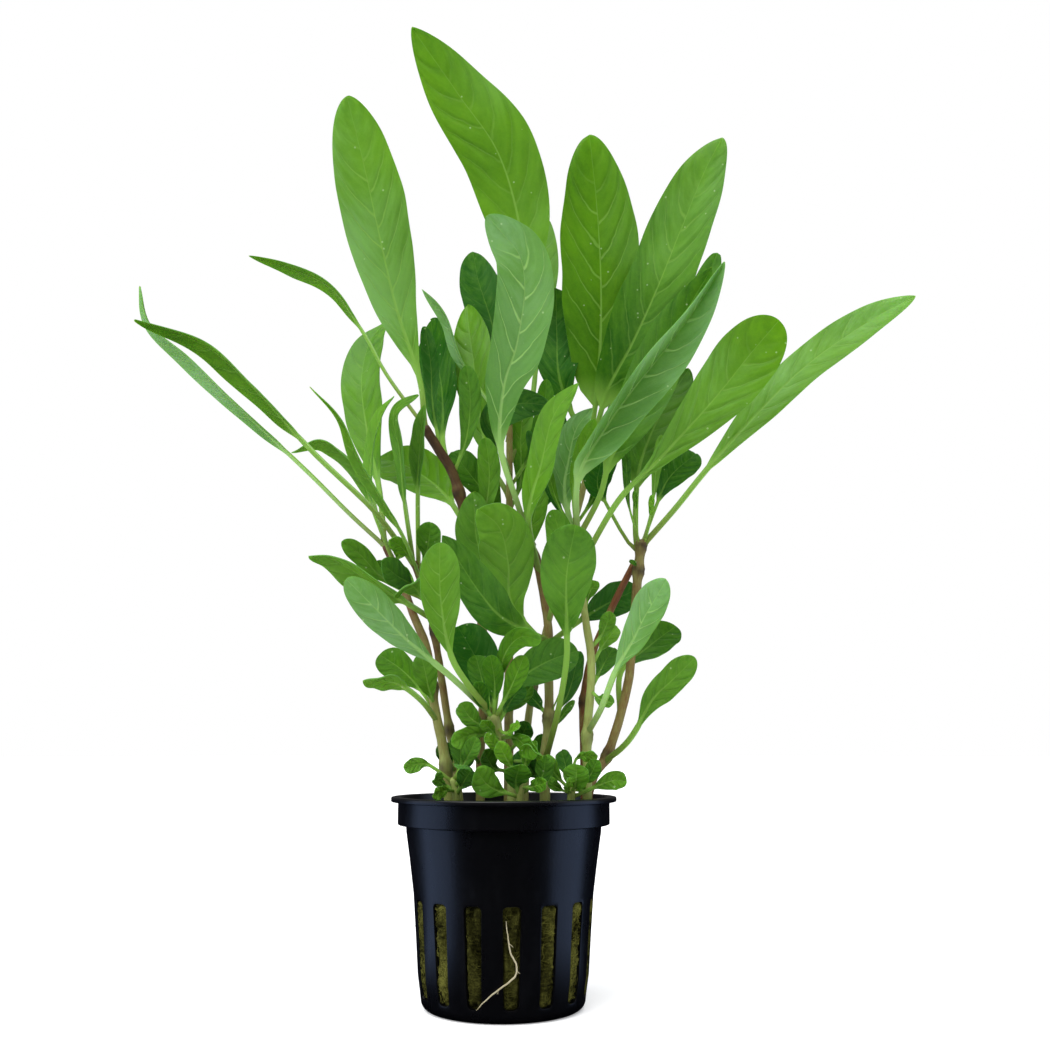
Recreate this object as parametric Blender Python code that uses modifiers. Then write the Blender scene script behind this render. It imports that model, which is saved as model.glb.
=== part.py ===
"""Potted hygrophila: leafy stems of a water plant growing from rock wool in a slotted net pot.

Metres, +Z up. The origin is the centre of the pot's flat base, and -Y is the plant's front.
Places of stems and leaves are listed in millimetres, as points that the piece runs through.
"""

import math
from collections import namedtuple

import bmesh
import bpy
from mathutils import Matrix, Vector

MM = 0.001
GAP = 0.3 * MM

# Net pot, outside radii and heights in millimetres
POT_HEIGHT = 49.0
RIM_RADIUS = 27.5
RIM_THICKNESS = 1.2
COLLAR_RADIUS = 25.8
COLLAR_BOTTOM = 42.4
SHOULDER_RADIUS = 23.7
SLOT_TOP_RADIUS = 21.7
LOW_RADIUS = 20.4
LOW_HEIGHT = 8.0
BASE_RADIUS = 17.4
WALL = 1.0
FLOOR = 1.2
POT_STEPS = 36

# Upright slots round the lower wall
SLOT_COUNT = 15
SLOT_TOP = 25.6
SLOT_BOTTOM = 3.2
SLOT_TOP_WIDTH = 4.2
SLOT_BOTTOM_WIDTH = 3.4
SLOT_PHASE = math.radians(6.0)

# Rock wool plug
WOOL_TOP = 46.0
STEM_START = WOOL_TOP + 0.6

# Leaves
LEAF_THICKNESS = 0.8
PETIOLE_WIDTH = 1.9
TIP_WIDTH = 1.0
BLADE_STEPS = 5
PETIOLE_STEPS = 2
DISH = 0.12
SMALL_THICKNESS = 0.7
SMALL_PETIOLE_WIDTH = 1.2
SMALL_BLADE_STEPS = 3

# Stems: eight points or so are read from each route, more finely round its nodes
STEM_SPACING = 10.0
NODE_SWELL = 0.35
NODE_LENGTH = 1.6

# The white root that lies over a slot
ROOT_RADIUS = 0.4
ROOT_ROUTE = [(0.9, -22.3, 22.8), (1.4, -22.0, 19.1), (2.0, -21.8, 15.7), (3.2, -21.5, 13.5), (3.2, -21.4, 11.4),
              (1.6, -21.5, 9.7), (-1.3, -21.3, 7.6), (-3.5, -20.8, 5.8), (-5.7, -19.9, 3.4)]

# Blade outlines: how the half width grows from the petiole and closes at the tip
OUTLINES = {
    "oval": (0.85, 0.60),
    "lance": (0.80, 0.80),
    "spoon": (1.00, 0.50),
    "strap": (0.70, 0.75),
}

# Stems: radii at the base and at the top, where nodes swell, and the points that each runs through
Stem = namedtuple("Stem", "name foot top nodes route")
STEMS = [
    Stem("left_stem", 1.5, 0.9, (0.14, 0.42),
         [(-13, -4, STEM_START), (-14, -5, 56), (-15, -5, 62), (-17, -5, 71), (-19, -4, 84),
          (-23, -2, 94), (-27, 1, 104), (-31, 3, 112)]),
    Stem("left_inner_stem", 1.3, 0.9, (0.3, 0.7),
         [(-11, 5, STEM_START), (-13, 5, 60), (-15, 4, 72), (-17, 2, 85), (-19, -1, 96), (-23, -4, 107)]),
    Stem("brown_stem", 1.5, 1.0, (0.2, 0.5, 0.8),
         [(-6, 6, STEM_START), (-6, 6, 63), (-5, 5, 78), (-6, 4, 93), (-9, 3, 113), (-13, 1, 129),
          (-17, -1, 136), (-21, -3, 142)]),
    Stem("tall_back_stem", 1.4, 0.9, (0.25, 0.55),
         [(1, 8, STEM_START), (1, 9, 66), (1, 10, 86), (1, 11, 109), (1, 11, 134), (1, 10, 150)]),
    Stem("right_back_stem", 1.4, 0.9, (0.3, 0.6),
         [(5, 13, STEM_START), (6, 14, 68), (10, 15, 88), (16, 15, 111), (21, 16, 130), (23, 16, 143)]),
    Stem("centre_stem", 1.3, 1.0, (0.33, 0.95),
         [(10, -3, STEM_START), (10, -3, 58), (11, -3, 68), (11, -3, 80), (11, -4, 89), (9, -5, 102),
          (7, -6, 110)]),
    Stem("front_stem", 1.1, 1.0, (0.26, 0.95),
         [(20, -8, STEM_START), (20, -9, 55), (20, -10, 64), (21, -11, 76), (21, -11, 83), (20, -11, 90),
          (19, -11, 98), (18, -10, 111)]),
    Stem("right_stem", 1.2, 1.0, (0.2, 0.9),
         [(20, -1, STEM_START), (22, -1, 54), (25, 0, 58), (27, 0, 63), (29, 1, 69), (31, 1, 77),
          (32, 1, 85), (33, 1, 95), (34, 0, 106), (35, 0, 113)]),
    Stem("red_stem", 1.2, 0.8, (0.4,),
         [(20, 6, STEM_START), (20, 7, 60), (20, 8, 71), (22, 7, 83), (27, 5, 95), (32, 3, 105)]),
    Stem("low_shoot", 1.2, 1.0, (0.9,),
         [(2, -9, STEM_START), (2, -9, 57), (0, -10, 60), (-1, -11, 64), (-3, -12, 69)]),
    Stem("left_runner", 1.0, 0.8, (), [(-11, -12, STEM_START), (-11, -13, 50), (-12, -14, 54)]),
    Stem("front_runner", 1.0, 0.8, (), [(4, -15, STEM_START), (4, -16, 50), (5, -17, 54)]),
    Stem("right_runner", 1.0, 0.8, (), [(16, -12, STEM_START), (16, -13, 50), (17, -14, 53)]),
]

# Leaves: the stem each grows from, its outline, blade width, the share of its length that is petiole,
# the turn of the blade about its midrib at the petiole and at the tip in degrees, and its midrib's points
Leaf = namedtuple("Leaf", "name stem outline width petiole turn route")
LEAVES = [
    Leaf("tallest_leaf", "tall_back_stem", "lance", 21, 0.25, (0, 0),
         [(2, 9, 151), (4, 9, 178), (4, 8, 199), (-2, 5, 221), (-13, 2, 237), (-26, -2, 255)]),
    Leaf("tall_left_leaf", "brown_stem", "oval", 18, 0.12, (0, 0),
         [(-21, -3, 141), (-22, -4, 154), (-28, -7, 172), (-32, -12, 189), (-36, -17, 207), (-40, -22, 223)]),
    Leaf("folded_centre_leaf", "centre_stem", "oval", 15, 0.32, (0, 0),
         [(7, -7, 110), (3, -10, 121), (-1, -14, 134), (0, -18, 148), (3, -21, 157), (5, -25, 169),
          (4, -28, 177), (0, -30, 182), (-4, -32, 186)]),
    Leaf("broad_upright_leaf", "right_back_stem", "oval", 23, 0.12, (0, 0),
         [(23, 16, 144), (25, 15, 158), (26, 14, 174), (26, 12, 190), (25, 10, 209), (23, 7, 228)]),
    Leaf("tall_right_leaf", "right_back_stem", "oval", 19, 0.12, (30, 30),
         [(22, 16, 136), (27, 11, 154), (34, 6, 167), (41, 1, 182), (47, -3, 197), (52, -7, 209),
          (57, -10, 218)]),
    Leaf("creased_front_leaf", "front_stem", "lance", 10, 0.16, (0, 0),
         [(18, -13, 116), (18, -19, 125), (24, -25, 135), (30, -30, 143), (38, -36, 152), (44, -42, 159),
          (50, -47, 168)]),
    Leaf("behind_crease_leaf", "front_stem", "lance", 10, 0.27, (0, 0),
         [(21, -7, 114), (24, -5, 123), (27, -4, 133), (35, -4, 148), (43, -4, 165), (54, -5, 184)]),
    Leaf("right_back_leaf", "right_stem", "lance", 15, 0.30, (0, 0),
         [(34, 0, 107), (34, 7, 118), (36, 13, 135), (43, 20, 152), (52, 28, 167)]),
    Leaf("broad_right_leaf", "front_stem", "oval", 17, 0.22, (0, 0),
         [(19, -11, 104), (28, -15, 120), (38, -16, 130), (51, -19, 144), (60, -21, 155), (67, -23, 163)]),
    Leaf("long_right_leaf", "right_stem", "lance", 16, 0.24, (45, 45),
         [(35, -3, 111), (43, -4, 120), (53, -5, 132), (73, -8, 153), (91, -12, 166), (103, -16, 172)]),
    Leaf("far_left_low_leaf", "left_stem", "lance", 8, 0.32, (50, 50),
         [(-31, 5, 111), (-41, 7, 121), (-52, 9, 132), (-69, 11, 148), (-86, 13, 164), (-98, 14, 175),
          (-102, 15, 187)]),
    Leaf("far_left_high_leaf", "left_inner_stem", "lance", 8, 0.42, (50, 50),
         [(-23, -4, 105), (-28, -8, 113), (-33, -12, 119), (-47, -16, 132), (-61, -19, 147), (-74, -21, 158),
          (-89, -26, 162)]),
    Leaf("upper_left_leaf", "brown_stem", "lance", 6, 0.42, (50, 50),
         [(-22, 3, 143), (-32, 8, 159), (-39, 12, 172), (-49, 17, 187), (-62, 22, 195), (-75, 27, 201)]),
    Leaf("left_back_leaf", "left_stem", "oval", 13, 0.22, (20, 20),
         [(-31, 8, 114), (-34, 14, 129), (-39, 24, 148), (-42, 32, 165), (-41, 38, 178), (-37, 42, 186)]),
    Leaf("left_front_leaf", "left_stem", "lance", 7, 0.25, (50, 50),
         [(-30, 2, 109), (-34, 3, 123), (-35, 4, 134), (-33, 3, 145), (-29, 1, 151)]),
    Leaf("left_edge_leaf", "left_inner_stem", "lance", 8, 0.20, (60, 60),
         [(-21, -2, 101), (-24, -11, 110), (-29, -17, 119), (-35, -22, 129), (-39, -25, 138), (-46, -27, 145)]),
    Leaf("left_curled_leaf", "left_stem", "lance", 8, 0.25, (60, 60),
         [(-28, 1, 106), (-33, -3, 119), (-36, -4, 128), (-41, -5, 134), (-47, -6, 137), (-54, -6, 134)]),
    Leaf("left_upright_leaf", "left_inner_stem", "strap", 9, 0.25, (60, 60),
         [(-23, -4, 107), (-25, -9, 122), (-26, -11, 133), (-27, -14, 142), (-21, -17, 146)]),
    Leaf("inner_narrow_leaf", "left_inner_stem", "lance", 7, 0.40, (40, 40),
         [(-22, -2, 103), (-22, -4, 124), (-21, -9, 137), (-20, -12, 145)]),
    Leaf("level_back_leaf", "brown_stem", "oval", 13, 0.20, (0, 0),
         [(-10, 8, 117), (-17, 20, 129), (-27, 34, 139), (-39, 48, 146)]),
    Leaf("dark_back_left_leaf", "brown_stem", "oval", 15, 0.25, (30, 30),
         [(-13, 6, 130), (-17, 14, 141), (-18, 24, 157), (-21, 34, 175), (-23, 40, 186)]),
    Leaf("bright_back_leaf", "tall_back_stem", "oval", 13, 0.15, (20, 20),
         [(0, 13, 126), (-5, 18, 139), (-8, 24, 157), (-10, 30, 173), (-12, 36, 189)]),
    Leaf("dark_back_top_leaf", "tall_back_stem", "oval", 13, 0.20, (10, 10),
         [(1, 11, 141), (0, 24, 163), (-5, 36, 185), (-9, 44, 200), (-11, 50, 212)]),
    Leaf("thin_arched_leaf", "tall_back_stem", "lance", 4, 0.20, (50, 50),
         [(-7, 10, 144), (-12, 12, 164), (-17, 16, 178), (-24, 20, 188)]),
    Leaf("behind_tallest_leaf", "tall_back_stem", "oval", 9, 0.30, (20, 20),
         [(1, 11, 136), (7, 24, 156), (9, 34, 181), (11, 42, 203), (11, 50, 224)]),
    Leaf("dark_between_leaf", "right_back_stem", "oval", 12, 0.15, (0, 0),
         [(15, 10, 141), (15, 14, 158), (14, 18, 174), (14, 22, 189)]),
    Leaf("dark_arched_leaf", "tall_back_stem", "lance", 9, 0.10, (50, 50),
         [(-3, 4, 132), (-3, 0, 143), (3, -5, 147), (12, -11, 145)]),
    Leaf("bright_narrow_leaf", "centre_stem", "lance", 8, 0.15, (40, 40),
         [(9, -5, 103), (6, -13, 116), (9, -17, 128), (12, -22, 139), (18, -27, 146)]),
    Leaf("pale_upright_leaf", "front_stem", "lance", 8, 0.15, (0, 0),
         [(18, -10, 108), (15, -11, 122), (16, -11, 131), (18, -11, 139), (22, -12, 144)]),
    Leaf("centre_broad_leaf", "centre_stem", "oval", 12, 0.20, (0, 0),
         [(6, -7, 84), (2, -8, 95), (1, -11, 105), (-1, -15, 113), (-6, -19, 117)]),
    Leaf("centre_left_leaf", "tall_back_stem", "oval", 10, 0.10, (0, 0),
         [(1, 9, 92), (-3, 0, 103), (-7, -2, 112), (-8, -1, 125)]),
    Leaf("slanting_leaf", "centre_stem", "lance", 10, 0.20, (0, 0),
         [(4, -13, 85), (0, -16, 91), (-5, -20, 96), (-10, -24, 103), (-14, -28, 109)]),
    Leaf("pale_front_leaf", "low_shoot", "spoon", 9.5, 0.38, (0, 0),
         [(-3, -15, 69), (-8, -20, 75), (-12, -25, 82), (-14, -31, 94), (-14, -36, 106)]),
    Leaf("lower_left_leaf", "low_shoot", "spoon", 8, 0.34, (0, 0),
         [(-4, -11, 68), (-11, -17, 76), (-17, -21, 81), (-23, -25, 86), (-28, -29, 91), (-35, -34, 98)]),
    Leaf("low_left_thin_leaf", "left_stem", "lance", 7, 0.40, (40, 40),
         [(-16, -7, 67), (-20, -10, 72), (-26, -13, 76), (-33, -17, 76)]),
    Leaf("left_outer_leaf", "left_inner_stem", "lance", 9, 0.25, (50, 50),
         [(-20, -8, 90), (-25, -12, 96), (-34, -16, 101), (-41, -19, 105), (-46, -21, 105)]),
    Leaf("dark_front_leaf", "low_shoot", "spoon", 10, 0.15, (0, 0),
         [(-2, -11, 66), (3, -9, 76), (10, -8, 81), (18, -8, 84)]),
    Leaf("broad_front_leaf", "centre_stem", "oval", 12.5, 0.54, (0, 0),
         [(11, -7, 57), (13, -11, 69), (15, -15, 81), (15, -18, 90), (15, -21, 101), (17, -25, 112)]),
    Leaf("pale_right_leaf", "front_stem", "spoon", 8.5, 0.37, (30, 30),
         [(20, -12, 64), (23, -18, 70), (26, -22, 78), (30, -25, 85), (33, -29, 91), (37, -33, 98)]),
    Leaf("dark_right_leaf", "right_back_stem", "spoon", 9, 0.30, (0, 0),
         [(10, 17, 87), (19, 12, 93), (27, 13, 98), (35, 16, 102)]),
    Leaf("right_middle_leaf", "right_stem", "spoon", 10, 0.35, (0, 0),
         [(26, 6, 69), (30, 11, 80), (38, 17, 87), (46, 23, 93)]),
    Leaf("low_right_leaf", "right_stem", "spoon", 7.5, 0.30, (20, 20),
         [(25, -2, 57), (29, -5, 61), (32, -7, 65), (36, -8, 72), (41, -10, 77), (46, -12, 82)]),
]


# Small leaves that grow in one piece with a stem: width, petiole share, turn and route
Small = namedtuple("Small", "stem width petiole turn route")
SMALL_LEAVES = [
    Small("left_stem", 6, 0.15, 0, [(-16, -6, 71), (-18, -8, 74), (-19, -10, 79), (-20, -11, 83)]),
    Small("left_stem", 8, 0.35, 0, [(-16, -2, 69), (-21, 0, 75), (-26, 3, 80), (-32, 6, 84)]),
    Small("left_inner_stem", 5, 0.40, 20, [(-20, -3, 96), (-29, -8, 101), (-35, -12, 107), (-39, -15, 110)]),
    Small("left_inner_stem", 6, 0.40, 0, [(-20, 1, 96), (-26, 7, 103), (-30, 9, 107)]),
    Small("left_inner_stem", 4, 0.30, 0, [(-22, -5, 100), (-21, -9, 99), (-19, -12, 101)]),
    Small("left_inner_stem", 6.5, 0.30, 0, [(-22, -4, 104), (-19, -8, 109), (-18, -12, 115)]),
    Small("left_inner_stem", 5, 0.35, 0, [(-19, 0, 94), (-22, -15, 99), (-25, -22, 96)]),
    Small("centre_stem", 7, 0.25, 0, [(12, -6, 91), (13, -13, 101), (14, -13, 109), (12, -13, 118)]),
    Small("front_stem", 4, 0.40, 0, [(20, -9, 80), (24, -7, 85), (28, -5, 90)]),
    Small("front_stem", 5, 0.30, 0, [(21, -9, 74), (24, -6, 80), (27, -3, 85)]),
    Small("front_stem", 3.5, 0.30, 0, [(21, -12, 74), (23, -14, 72), (26, -16, 71)]),
    Small("right_stem", 8, 0.60, 0, [(34, 0, 109), (31, 1, 113), (26, 3, 123), (24, 4, 128), (25, 5, 134)]),
    Small("right_stem", 9, 0.45, 0, [(35, 2, 112), (40, 9, 124), (44, 13, 132), (52, 19, 140)]),
    Small("low_shoot", 12, 0.20, 0, [(-2, -9, 66), (-6, 0, 80), (-9, 2, 86), (-12, 4, 91)]),
    Small("low_shoot", 5, 0.30, 20, [(-3, -13, 68), (0, -18, 81), (4, -22, 86), (9, -26, 85)]),
    Small("low_shoot", 5, 0.30, 0, [(-2, -13, 68), (-2, -17, 76), (-3, -20, 82)]),
    Small("low_shoot", 5, 0.30, 0, [(-3, -13, 69), (2, -17, 75), (5, -19, 82)]),
    Small("low_shoot", 5, 0.30, 0, [(-2, -11, 64), (-7, -15, 67), (-10, -18, 71)]),
    Small("low_shoot", 5, 0.30, 0, [(-2, -9, 62), (-6, -14, 64), (-12, -18, 62)]),
    Small("left_runner", 3.6, 0.50, 0, [(-13, -12, 53), (-18, -15, 57), (-23, -17, 56)]),
    Small("left_runner", 3, 0.30, 0, [(-13, -12, 51), (-15, -15, 53), (-15, -17, 55)]),
    Small("left_runner", 5, 0.30, 0, [(-11, -12, 50), (-9, -17, 53), (-7, -20, 56)]),
    Small("left_runner", 5, 0.30, 0, [(-11, -10, 51), (-10, -12, 59), (-11, -14, 64)]),
    Small("front_runner", 6.5, 0.25, 0, [(1, -15, 50), (-3, -19, 52), (-6, -22, 56)]),
    Small("front_runner", 6.5, 0.25, 0, [(2, -14, 50), (3, -18, 53), (4, -21, 57)]),
    Small("front_runner", 5, 0.30, 0, [(4, -16, 54), (6, -19, 60), (9, -22, 59)]),
    Small("front_runner", 4.5, 0.30, 0, [(5, -16, 50), (9, -16, 54), (10, -17, 59)]),
    Small("right_runner", 6.5, 0.25, 0, [(17, -14, 50), (17, -17, 53), (17, -19, 57)]),
    Small("right_runner", 3, 0.55, 0, [(16, -13, 52), (17, -15, 58), (22, -17, 59)]),
    Small("right_runner", 4.5, 0.40, 0, [(18, -13, 49), (25, -14, 53), (29, -14, 53)]),
]

# Colours (linear) and roughness
COLOURS = {
    "pot_plastic": ((0.006, 0.006, 0.009), 0.32),
    "rock_wool": ((0.10, 0.10, 0.03), 0.95),
    "root": ((0.62, 0.58, 0.42), 0.6),
    "stem": ((0.17, 0.10, 0.04), 0.5),
    "leaf": ((0.10, 0.28, 0.04), 0.45),
}


def collection(name):
    """Make a collection in the scene."""
    made = bpy.data.collections.new(name)
    bpy.context.scene.collection.children.link(made)
    return made


def material(name):
    """Make a Principled material of one of the listed colours."""
    colour, roughness = COLOURS[name]
    made = bpy.data.materials.new(name)
    made.use_nodes = True
    shader = made.node_tree.nodes["Principled BSDF"]
    shader.inputs["Base Color"].default_value = (*colour, 1.0)
    shader.inputs["Roughness"].default_value = roughness
    made.diffuse_color = (*colour, 1.0)
    return made


def add_object(name, data, group, finish):
    """Link a mesh or curve as an object with its material."""
    made = bpy.data.objects.new(name, data)
    group.objects.link(made)
    data.materials.append(finish)
    return made


def smooth_route(points):
    """Read a smooth curve through the given points, in millimetres, and its running length."""
    knots = [Vector(p) for p in points]
    ends = [2 * knots[0] - knots[1]] + knots + [2 * knots[-1] - knots[-2]]
    fine = []
    for a, b, c, d in zip(ends, ends[1:], ends[2:], ends[3:]):
        for step in range(12):
            t = step / 12
            fine.append(0.5 * (2 * b + (c - a) * t + (2 * a - 5 * b + 4 * c - d) * t ** 2
                               + (3 * b - a - 3 * c + d) * t ** 3))
    fine.append(knots[-1])
    run = [0.0]
    for a, b in zip(fine, fine[1:]):
        run.append(run[-1] + (b - a).length)
    return fine, run


def along(route, share):
    """The point at a share of a route's length."""
    fine, run = route
    target = min(max(share, 0.0), 1.0) * run[-1]
    i = max(k for k in range(len(run) - 1) if run[k] <= target + 1e-9)
    span = max(run[i + 1] - run[i], 1e-9)
    return fine[i].lerp(fine[i + 1], min((target - run[i]) / span, 1.0))


def nearest_on(points, target):
    """The one of some points nearest to another point."""
    return min(points, key=lambda p: (p - Vector(target)).length)


def blade_shares(petiole, petiole_steps, blade_steps):
    """Stations along a leaf: even on the petiole, closing up towards the tip of the blade."""
    shares = [petiole * i / petiole_steps for i in range(petiole_steps)]
    for i in range(blade_steps + 1):
        even = i / blade_steps
        eased = 0.5 * (even + math.sin(even * math.pi / 2))
        shares.append(petiole + (1 - petiole) * eased)
    return shares


def half_width(share, petiole, outline, width, petiole_width):
    """Half the leaf's width at a share of its length, in millimetres."""
    if share <= petiole:
        return petiole_width / 2
    rise, close = OUTLINES[outline]
    s = (share - petiole) / (1 - petiole)
    widest = rise / (rise + close)
    peak = widest ** rise * (1 - widest) ** close
    blade = width / 2 * s ** rise * max(1 - s, 0.0) ** close / peak
    floor = petiole_width / 2 + (TIP_WIDTH - petiole_width) / 2 * s
    return max(blade, floor)


def leaf_mesh(name, route, width, outline, petiole, turn, sizes, start=0.0):
    """A blade and petiole as an open sheet, folded a little along the midrib."""
    petiole_width, petiole_steps, blade_steps = sizes
    shares = blade_shares(petiole, petiole_steps, blade_steps)
    places = [start + (1 - start) * share for share in shares]
    spine = [along(route, place) for place in places]
    tangents = []
    for place in places:
        tangents.append((along(route, place + 0.02) - along(route, place - 0.02)).normalized())
    sides = []
    side = tangents[0].cross(Vector((0, -1, 0))).normalized()
    for i, tangent in enumerate(tangents):
        if i:
            side = tangents[i - 1].rotation_difference(tangent) @ side
        angle = math.radians(turn[0] + (turn[1] - turn[0]) * shares[i])
        sides.append(Matrix.Rotation(-angle, 3, tangent) @ side)
    sheet = bmesh.new()
    bmesh.ops.create_grid(sheet, x_segments=len(shares) - 1, y_segments=2, size=1.0)
    for vert in sheet.verts:
        i = round((vert.co.x + 1) / 2 * (len(shares) - 1))
        across = round(vert.co.y)
        half = half_width(shares[i], petiole, outline, width, petiole_width)
        face = sides[i].cross(tangents[i])
        lift = DISH * half if shares[i] > petiole else 0.0
        vert.co = (spine[i] + sides[i] * half * across + face * lift * abs(across)) * MM
    mesh = bpy.data.meshes.new(name)
    sheet.to_mesh(mesh)
    sheet.free()
    return mesh


def thicken(target, thickness):
    """Give an open sheet its wall."""
    wall = target.modifiers.new("wall", "SOLIDIFY")
    wall.thickness = thickness * MM
    wall.offset = 0.0


def stem_radius(stem, share):
    """A stem's radius at a share of its length, swollen at its nodes."""
    radius = stem.foot + (stem.top - stem.foot) * share
    for node in stem.nodes:
        if abs(share - node) < 1e-6:
            radius *= 1 + NODE_SWELL
    return radius


def stem_shares(stem, length):
    """Stations along a stem: evenly spaced, with three at each node."""
    count = max(3, round(length / STEM_SPACING))
    reach = NODE_LENGTH / length
    shares = [i / count for i in range(count + 1)]
    for node in stem.nodes:
        shares = [s for s in shares if abs(s - node) > 1.4 * reach or s in (0.0, 1.0)]
        shares += [s for s in (node - reach, node, node + reach) if 0.0 < s < 1.0]
    return sorted(shares)


def tube(name, points, radii, sides, group, finish):
    """A round tube through points, with a radius at each, in millimetres."""
    curve = bpy.data.curves.new(name, "CURVE")
    curve.dimensions = "3D"
    curve.bevel_depth = MM
    curve.bevel_resolution = sides
    curve.use_fill_caps = True
    spline = curve.splines.new("POLY")
    spline.points.add(len(points) - 1)
    for knot, point, radius in zip(spline.points, points, radii):
        knot.co = (*(point * MM), 1.0)
        knot.radius = radius
    return add_object(name, curve, group, finish)


def as_mesh(tubed, group, finish):
    """Turn a tube into a mesh object with its caps welded on."""
    depsgraph = bpy.context.evaluated_depsgraph_get()
    mesh = bpy.data.meshes.new_from_object(tubed.evaluated_get(depsgraph))
    name = tubed.name
    bpy.data.objects.remove(tubed)
    work = bmesh.new()
    work.from_mesh(mesh)
    bmesh.ops.remove_doubles(work, verts=work.verts, dist=1e-6)
    bmesh.ops.recalc_face_normals(work, faces=work.faces)
    work.to_mesh(mesh)
    work.free()
    made = bpy.data.objects.new(name, mesh)
    group.objects.link(made)
    mesh.materials.clear()
    mesh.materials.append(finish)
    return made


def turned(name, profile, group, finish):
    """Turn a profile of (radius, height) pairs in millimetres about Z."""
    mesh = bpy.data.meshes.new(name)
    work = bmesh.new()
    verts = [work.verts.new((radius * MM, 0.0, height * MM)) for radius, height in profile]
    for a, b in zip(verts, verts[1:]):
        work.edges.new((a, b))
    work.to_mesh(mesh)
    work.free()
    made = add_object(name, mesh, group, finish)
    screw = made.modifiers.new("turn", "SCREW")
    screw.steps = POT_STEPS
    screw.render_steps = POT_STEPS
    screw.use_merge_vertices = True
    screw.merge_threshold = 0.00001
    return made


def cut(target, cutter):
    """Cut one solid from another and leave the cutter as a guide."""
    boolean = target.modifiers.new("cut", "BOOLEAN")
    boolean.operation = "DIFFERENCE"
    boolean.solver = "EXACT"
    boolean.object = cutter
    cutter.hide_render = True
    cutter.display_type = "WIRE"


def fuse(target, other):
    """Grow one solid into another and leave the other as a guide."""
    boolean = target.modifiers.new("grow", "BOOLEAN")
    boolean.operation = "UNION"
    boolean.solver = "EXACT"
    boolean.material_mode = "TRANSFER"
    boolean.object = other
    other.hide_render = True
    other.display_type = "WIRE"


def make_pot(parts, cutters, finish):
    """The net pot: a thin turned wall with a lip and a collar, slotted all round its lower half."""
    inner = [
        (0.0, FLOOR), (BASE_RADIUS, FLOOR), (LOW_RADIUS - WALL, LOW_HEIGHT),
        (SLOT_TOP_RADIUS - WALL, SLOT_TOP + 0.8), (SHOULDER_RADIUS - WALL, COLLAR_BOTTOM - 0.8),
        (COLLAR_RADIUS - WALL, COLLAR_BOTTOM + 0.7), (COLLAR_RADIUS - 0.7, POT_HEIGHT),
    ]
    outer = [
        (RIM_RADIUS, POT_HEIGHT), (RIM_RADIUS, POT_HEIGHT - RIM_THICKNESS),
        (COLLAR_RADIUS, POT_HEIGHT - RIM_THICKNESS - 0.6), (COLLAR_RADIUS, COLLAR_BOTTOM),
        (SHOULDER_RADIUS, COLLAR_BOTTOM - 1.2), (SLOT_TOP_RADIUS, SLOT_TOP + 0.8),
        (LOW_RADIUS, LOW_HEIGHT), (BASE_RADIUS + 2.0, 2.2), (BASE_RADIUS + 1.1, 0.7), (BASE_RADIUS, 0.0), (0.0, 0.0),
    ]
    pot = turned("net_pot", inner + outer, parts, finish)
    middle = (SLOT_TOP + SLOT_BOTTOM) / 2
    slots = bmesh.new()
    for i in range(SLOT_COUNT):
        made = bmesh.ops.create_cube(slots, size=1.0)["verts"]
        for vert in made:
            width = SLOT_TOP_WIDTH if vert.co.z > 0 else SLOT_BOTTOM_WIDTH
            vert.co = Vector((vert.co.x * width, vert.co.y * 8.0, vert.co.z * (SLOT_TOP - SLOT_BOTTOM)))
            vert.co += Vector((0.0, -20.0, middle))
        edges = {edge for vert in made for edge in vert.link_edges}
        corners = [edge for edge in edges if abs(edge.verts[0].co.y - edge.verts[1].co.y) > 1.0]
        rounded = bmesh.ops.bevel(slots, geom=corners, offset=1.0, offset_type="OFFSET", segments=1, profile=0.5,
                                  affect="EDGES", material=-1)
        made = {vert for vert in made if vert.is_valid} | set(rounded["verts"])
        turn = Matrix.Rotation(SLOT_PHASE + i * math.tau / SLOT_COUNT, 4, "Z")
        for vert in made:
            vert.co = (turn @ vert.co) * MM
    mesh = bpy.data.meshes.new("slots")
    slots.to_mesh(mesh)
    slots.free()
    cut(pot, add_object("slots", mesh, cutters, finish))
    return pot


def make_wool(parts, finish):
    """The rock wool plug, which fills the pot nearly to its lip."""
    inside = WALL + GAP / MM
    profile = [
        (0.0, WOOL_TOP), (COLLAR_RADIUS - inside - 1.2, WOOL_TOP), (COLLAR_RADIUS - inside, WOOL_TOP - 1.2),
        (COLLAR_RADIUS - inside, COLLAR_BOTTOM + 0.9), (SHOULDER_RADIUS - inside, COLLAR_BOTTOM - 0.6),
        (SLOT_TOP_RADIUS - inside, SLOT_TOP + 0.8), (LOW_RADIUS - inside, LOW_HEIGHT),
        (BASE_RADIUS - 0.5, FLOOR + 0.4), (0.0, FLOOR + 0.4),
    ]
    return turned("rock_wool", profile, parts, finish)


def make_stems(parts, finish):
    """Every stem as a tapering tube with swollen nodes. Gives back the smooth routes by name."""
    routes = {}
    for stem in STEMS:
        route = smooth_route(stem.route)
        shares = stem_shares(stem, route[1][-1])
        points = [along(route, share) for share in shares]
        radii = [stem_radius(stem, share) for share in shares]
        tube(stem.name, points, radii, 1, parts, finish)
        routes[stem.name] = (route, stem)
    return routes


def clear_start(route, stem_route, stem):
    """The share of a leaf's route at which its petiole is clear of its stem."""
    clearance = max(stem.foot, stem.top) * (1 + NODE_SWELL) + GAP / MM + PETIOLE_WIDTH / 2
    share = 0.0
    while (along(route, share) - nearest_on(stem_route[0], along(route, share))).length < clearance:
        share += 0.005
    return share


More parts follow.
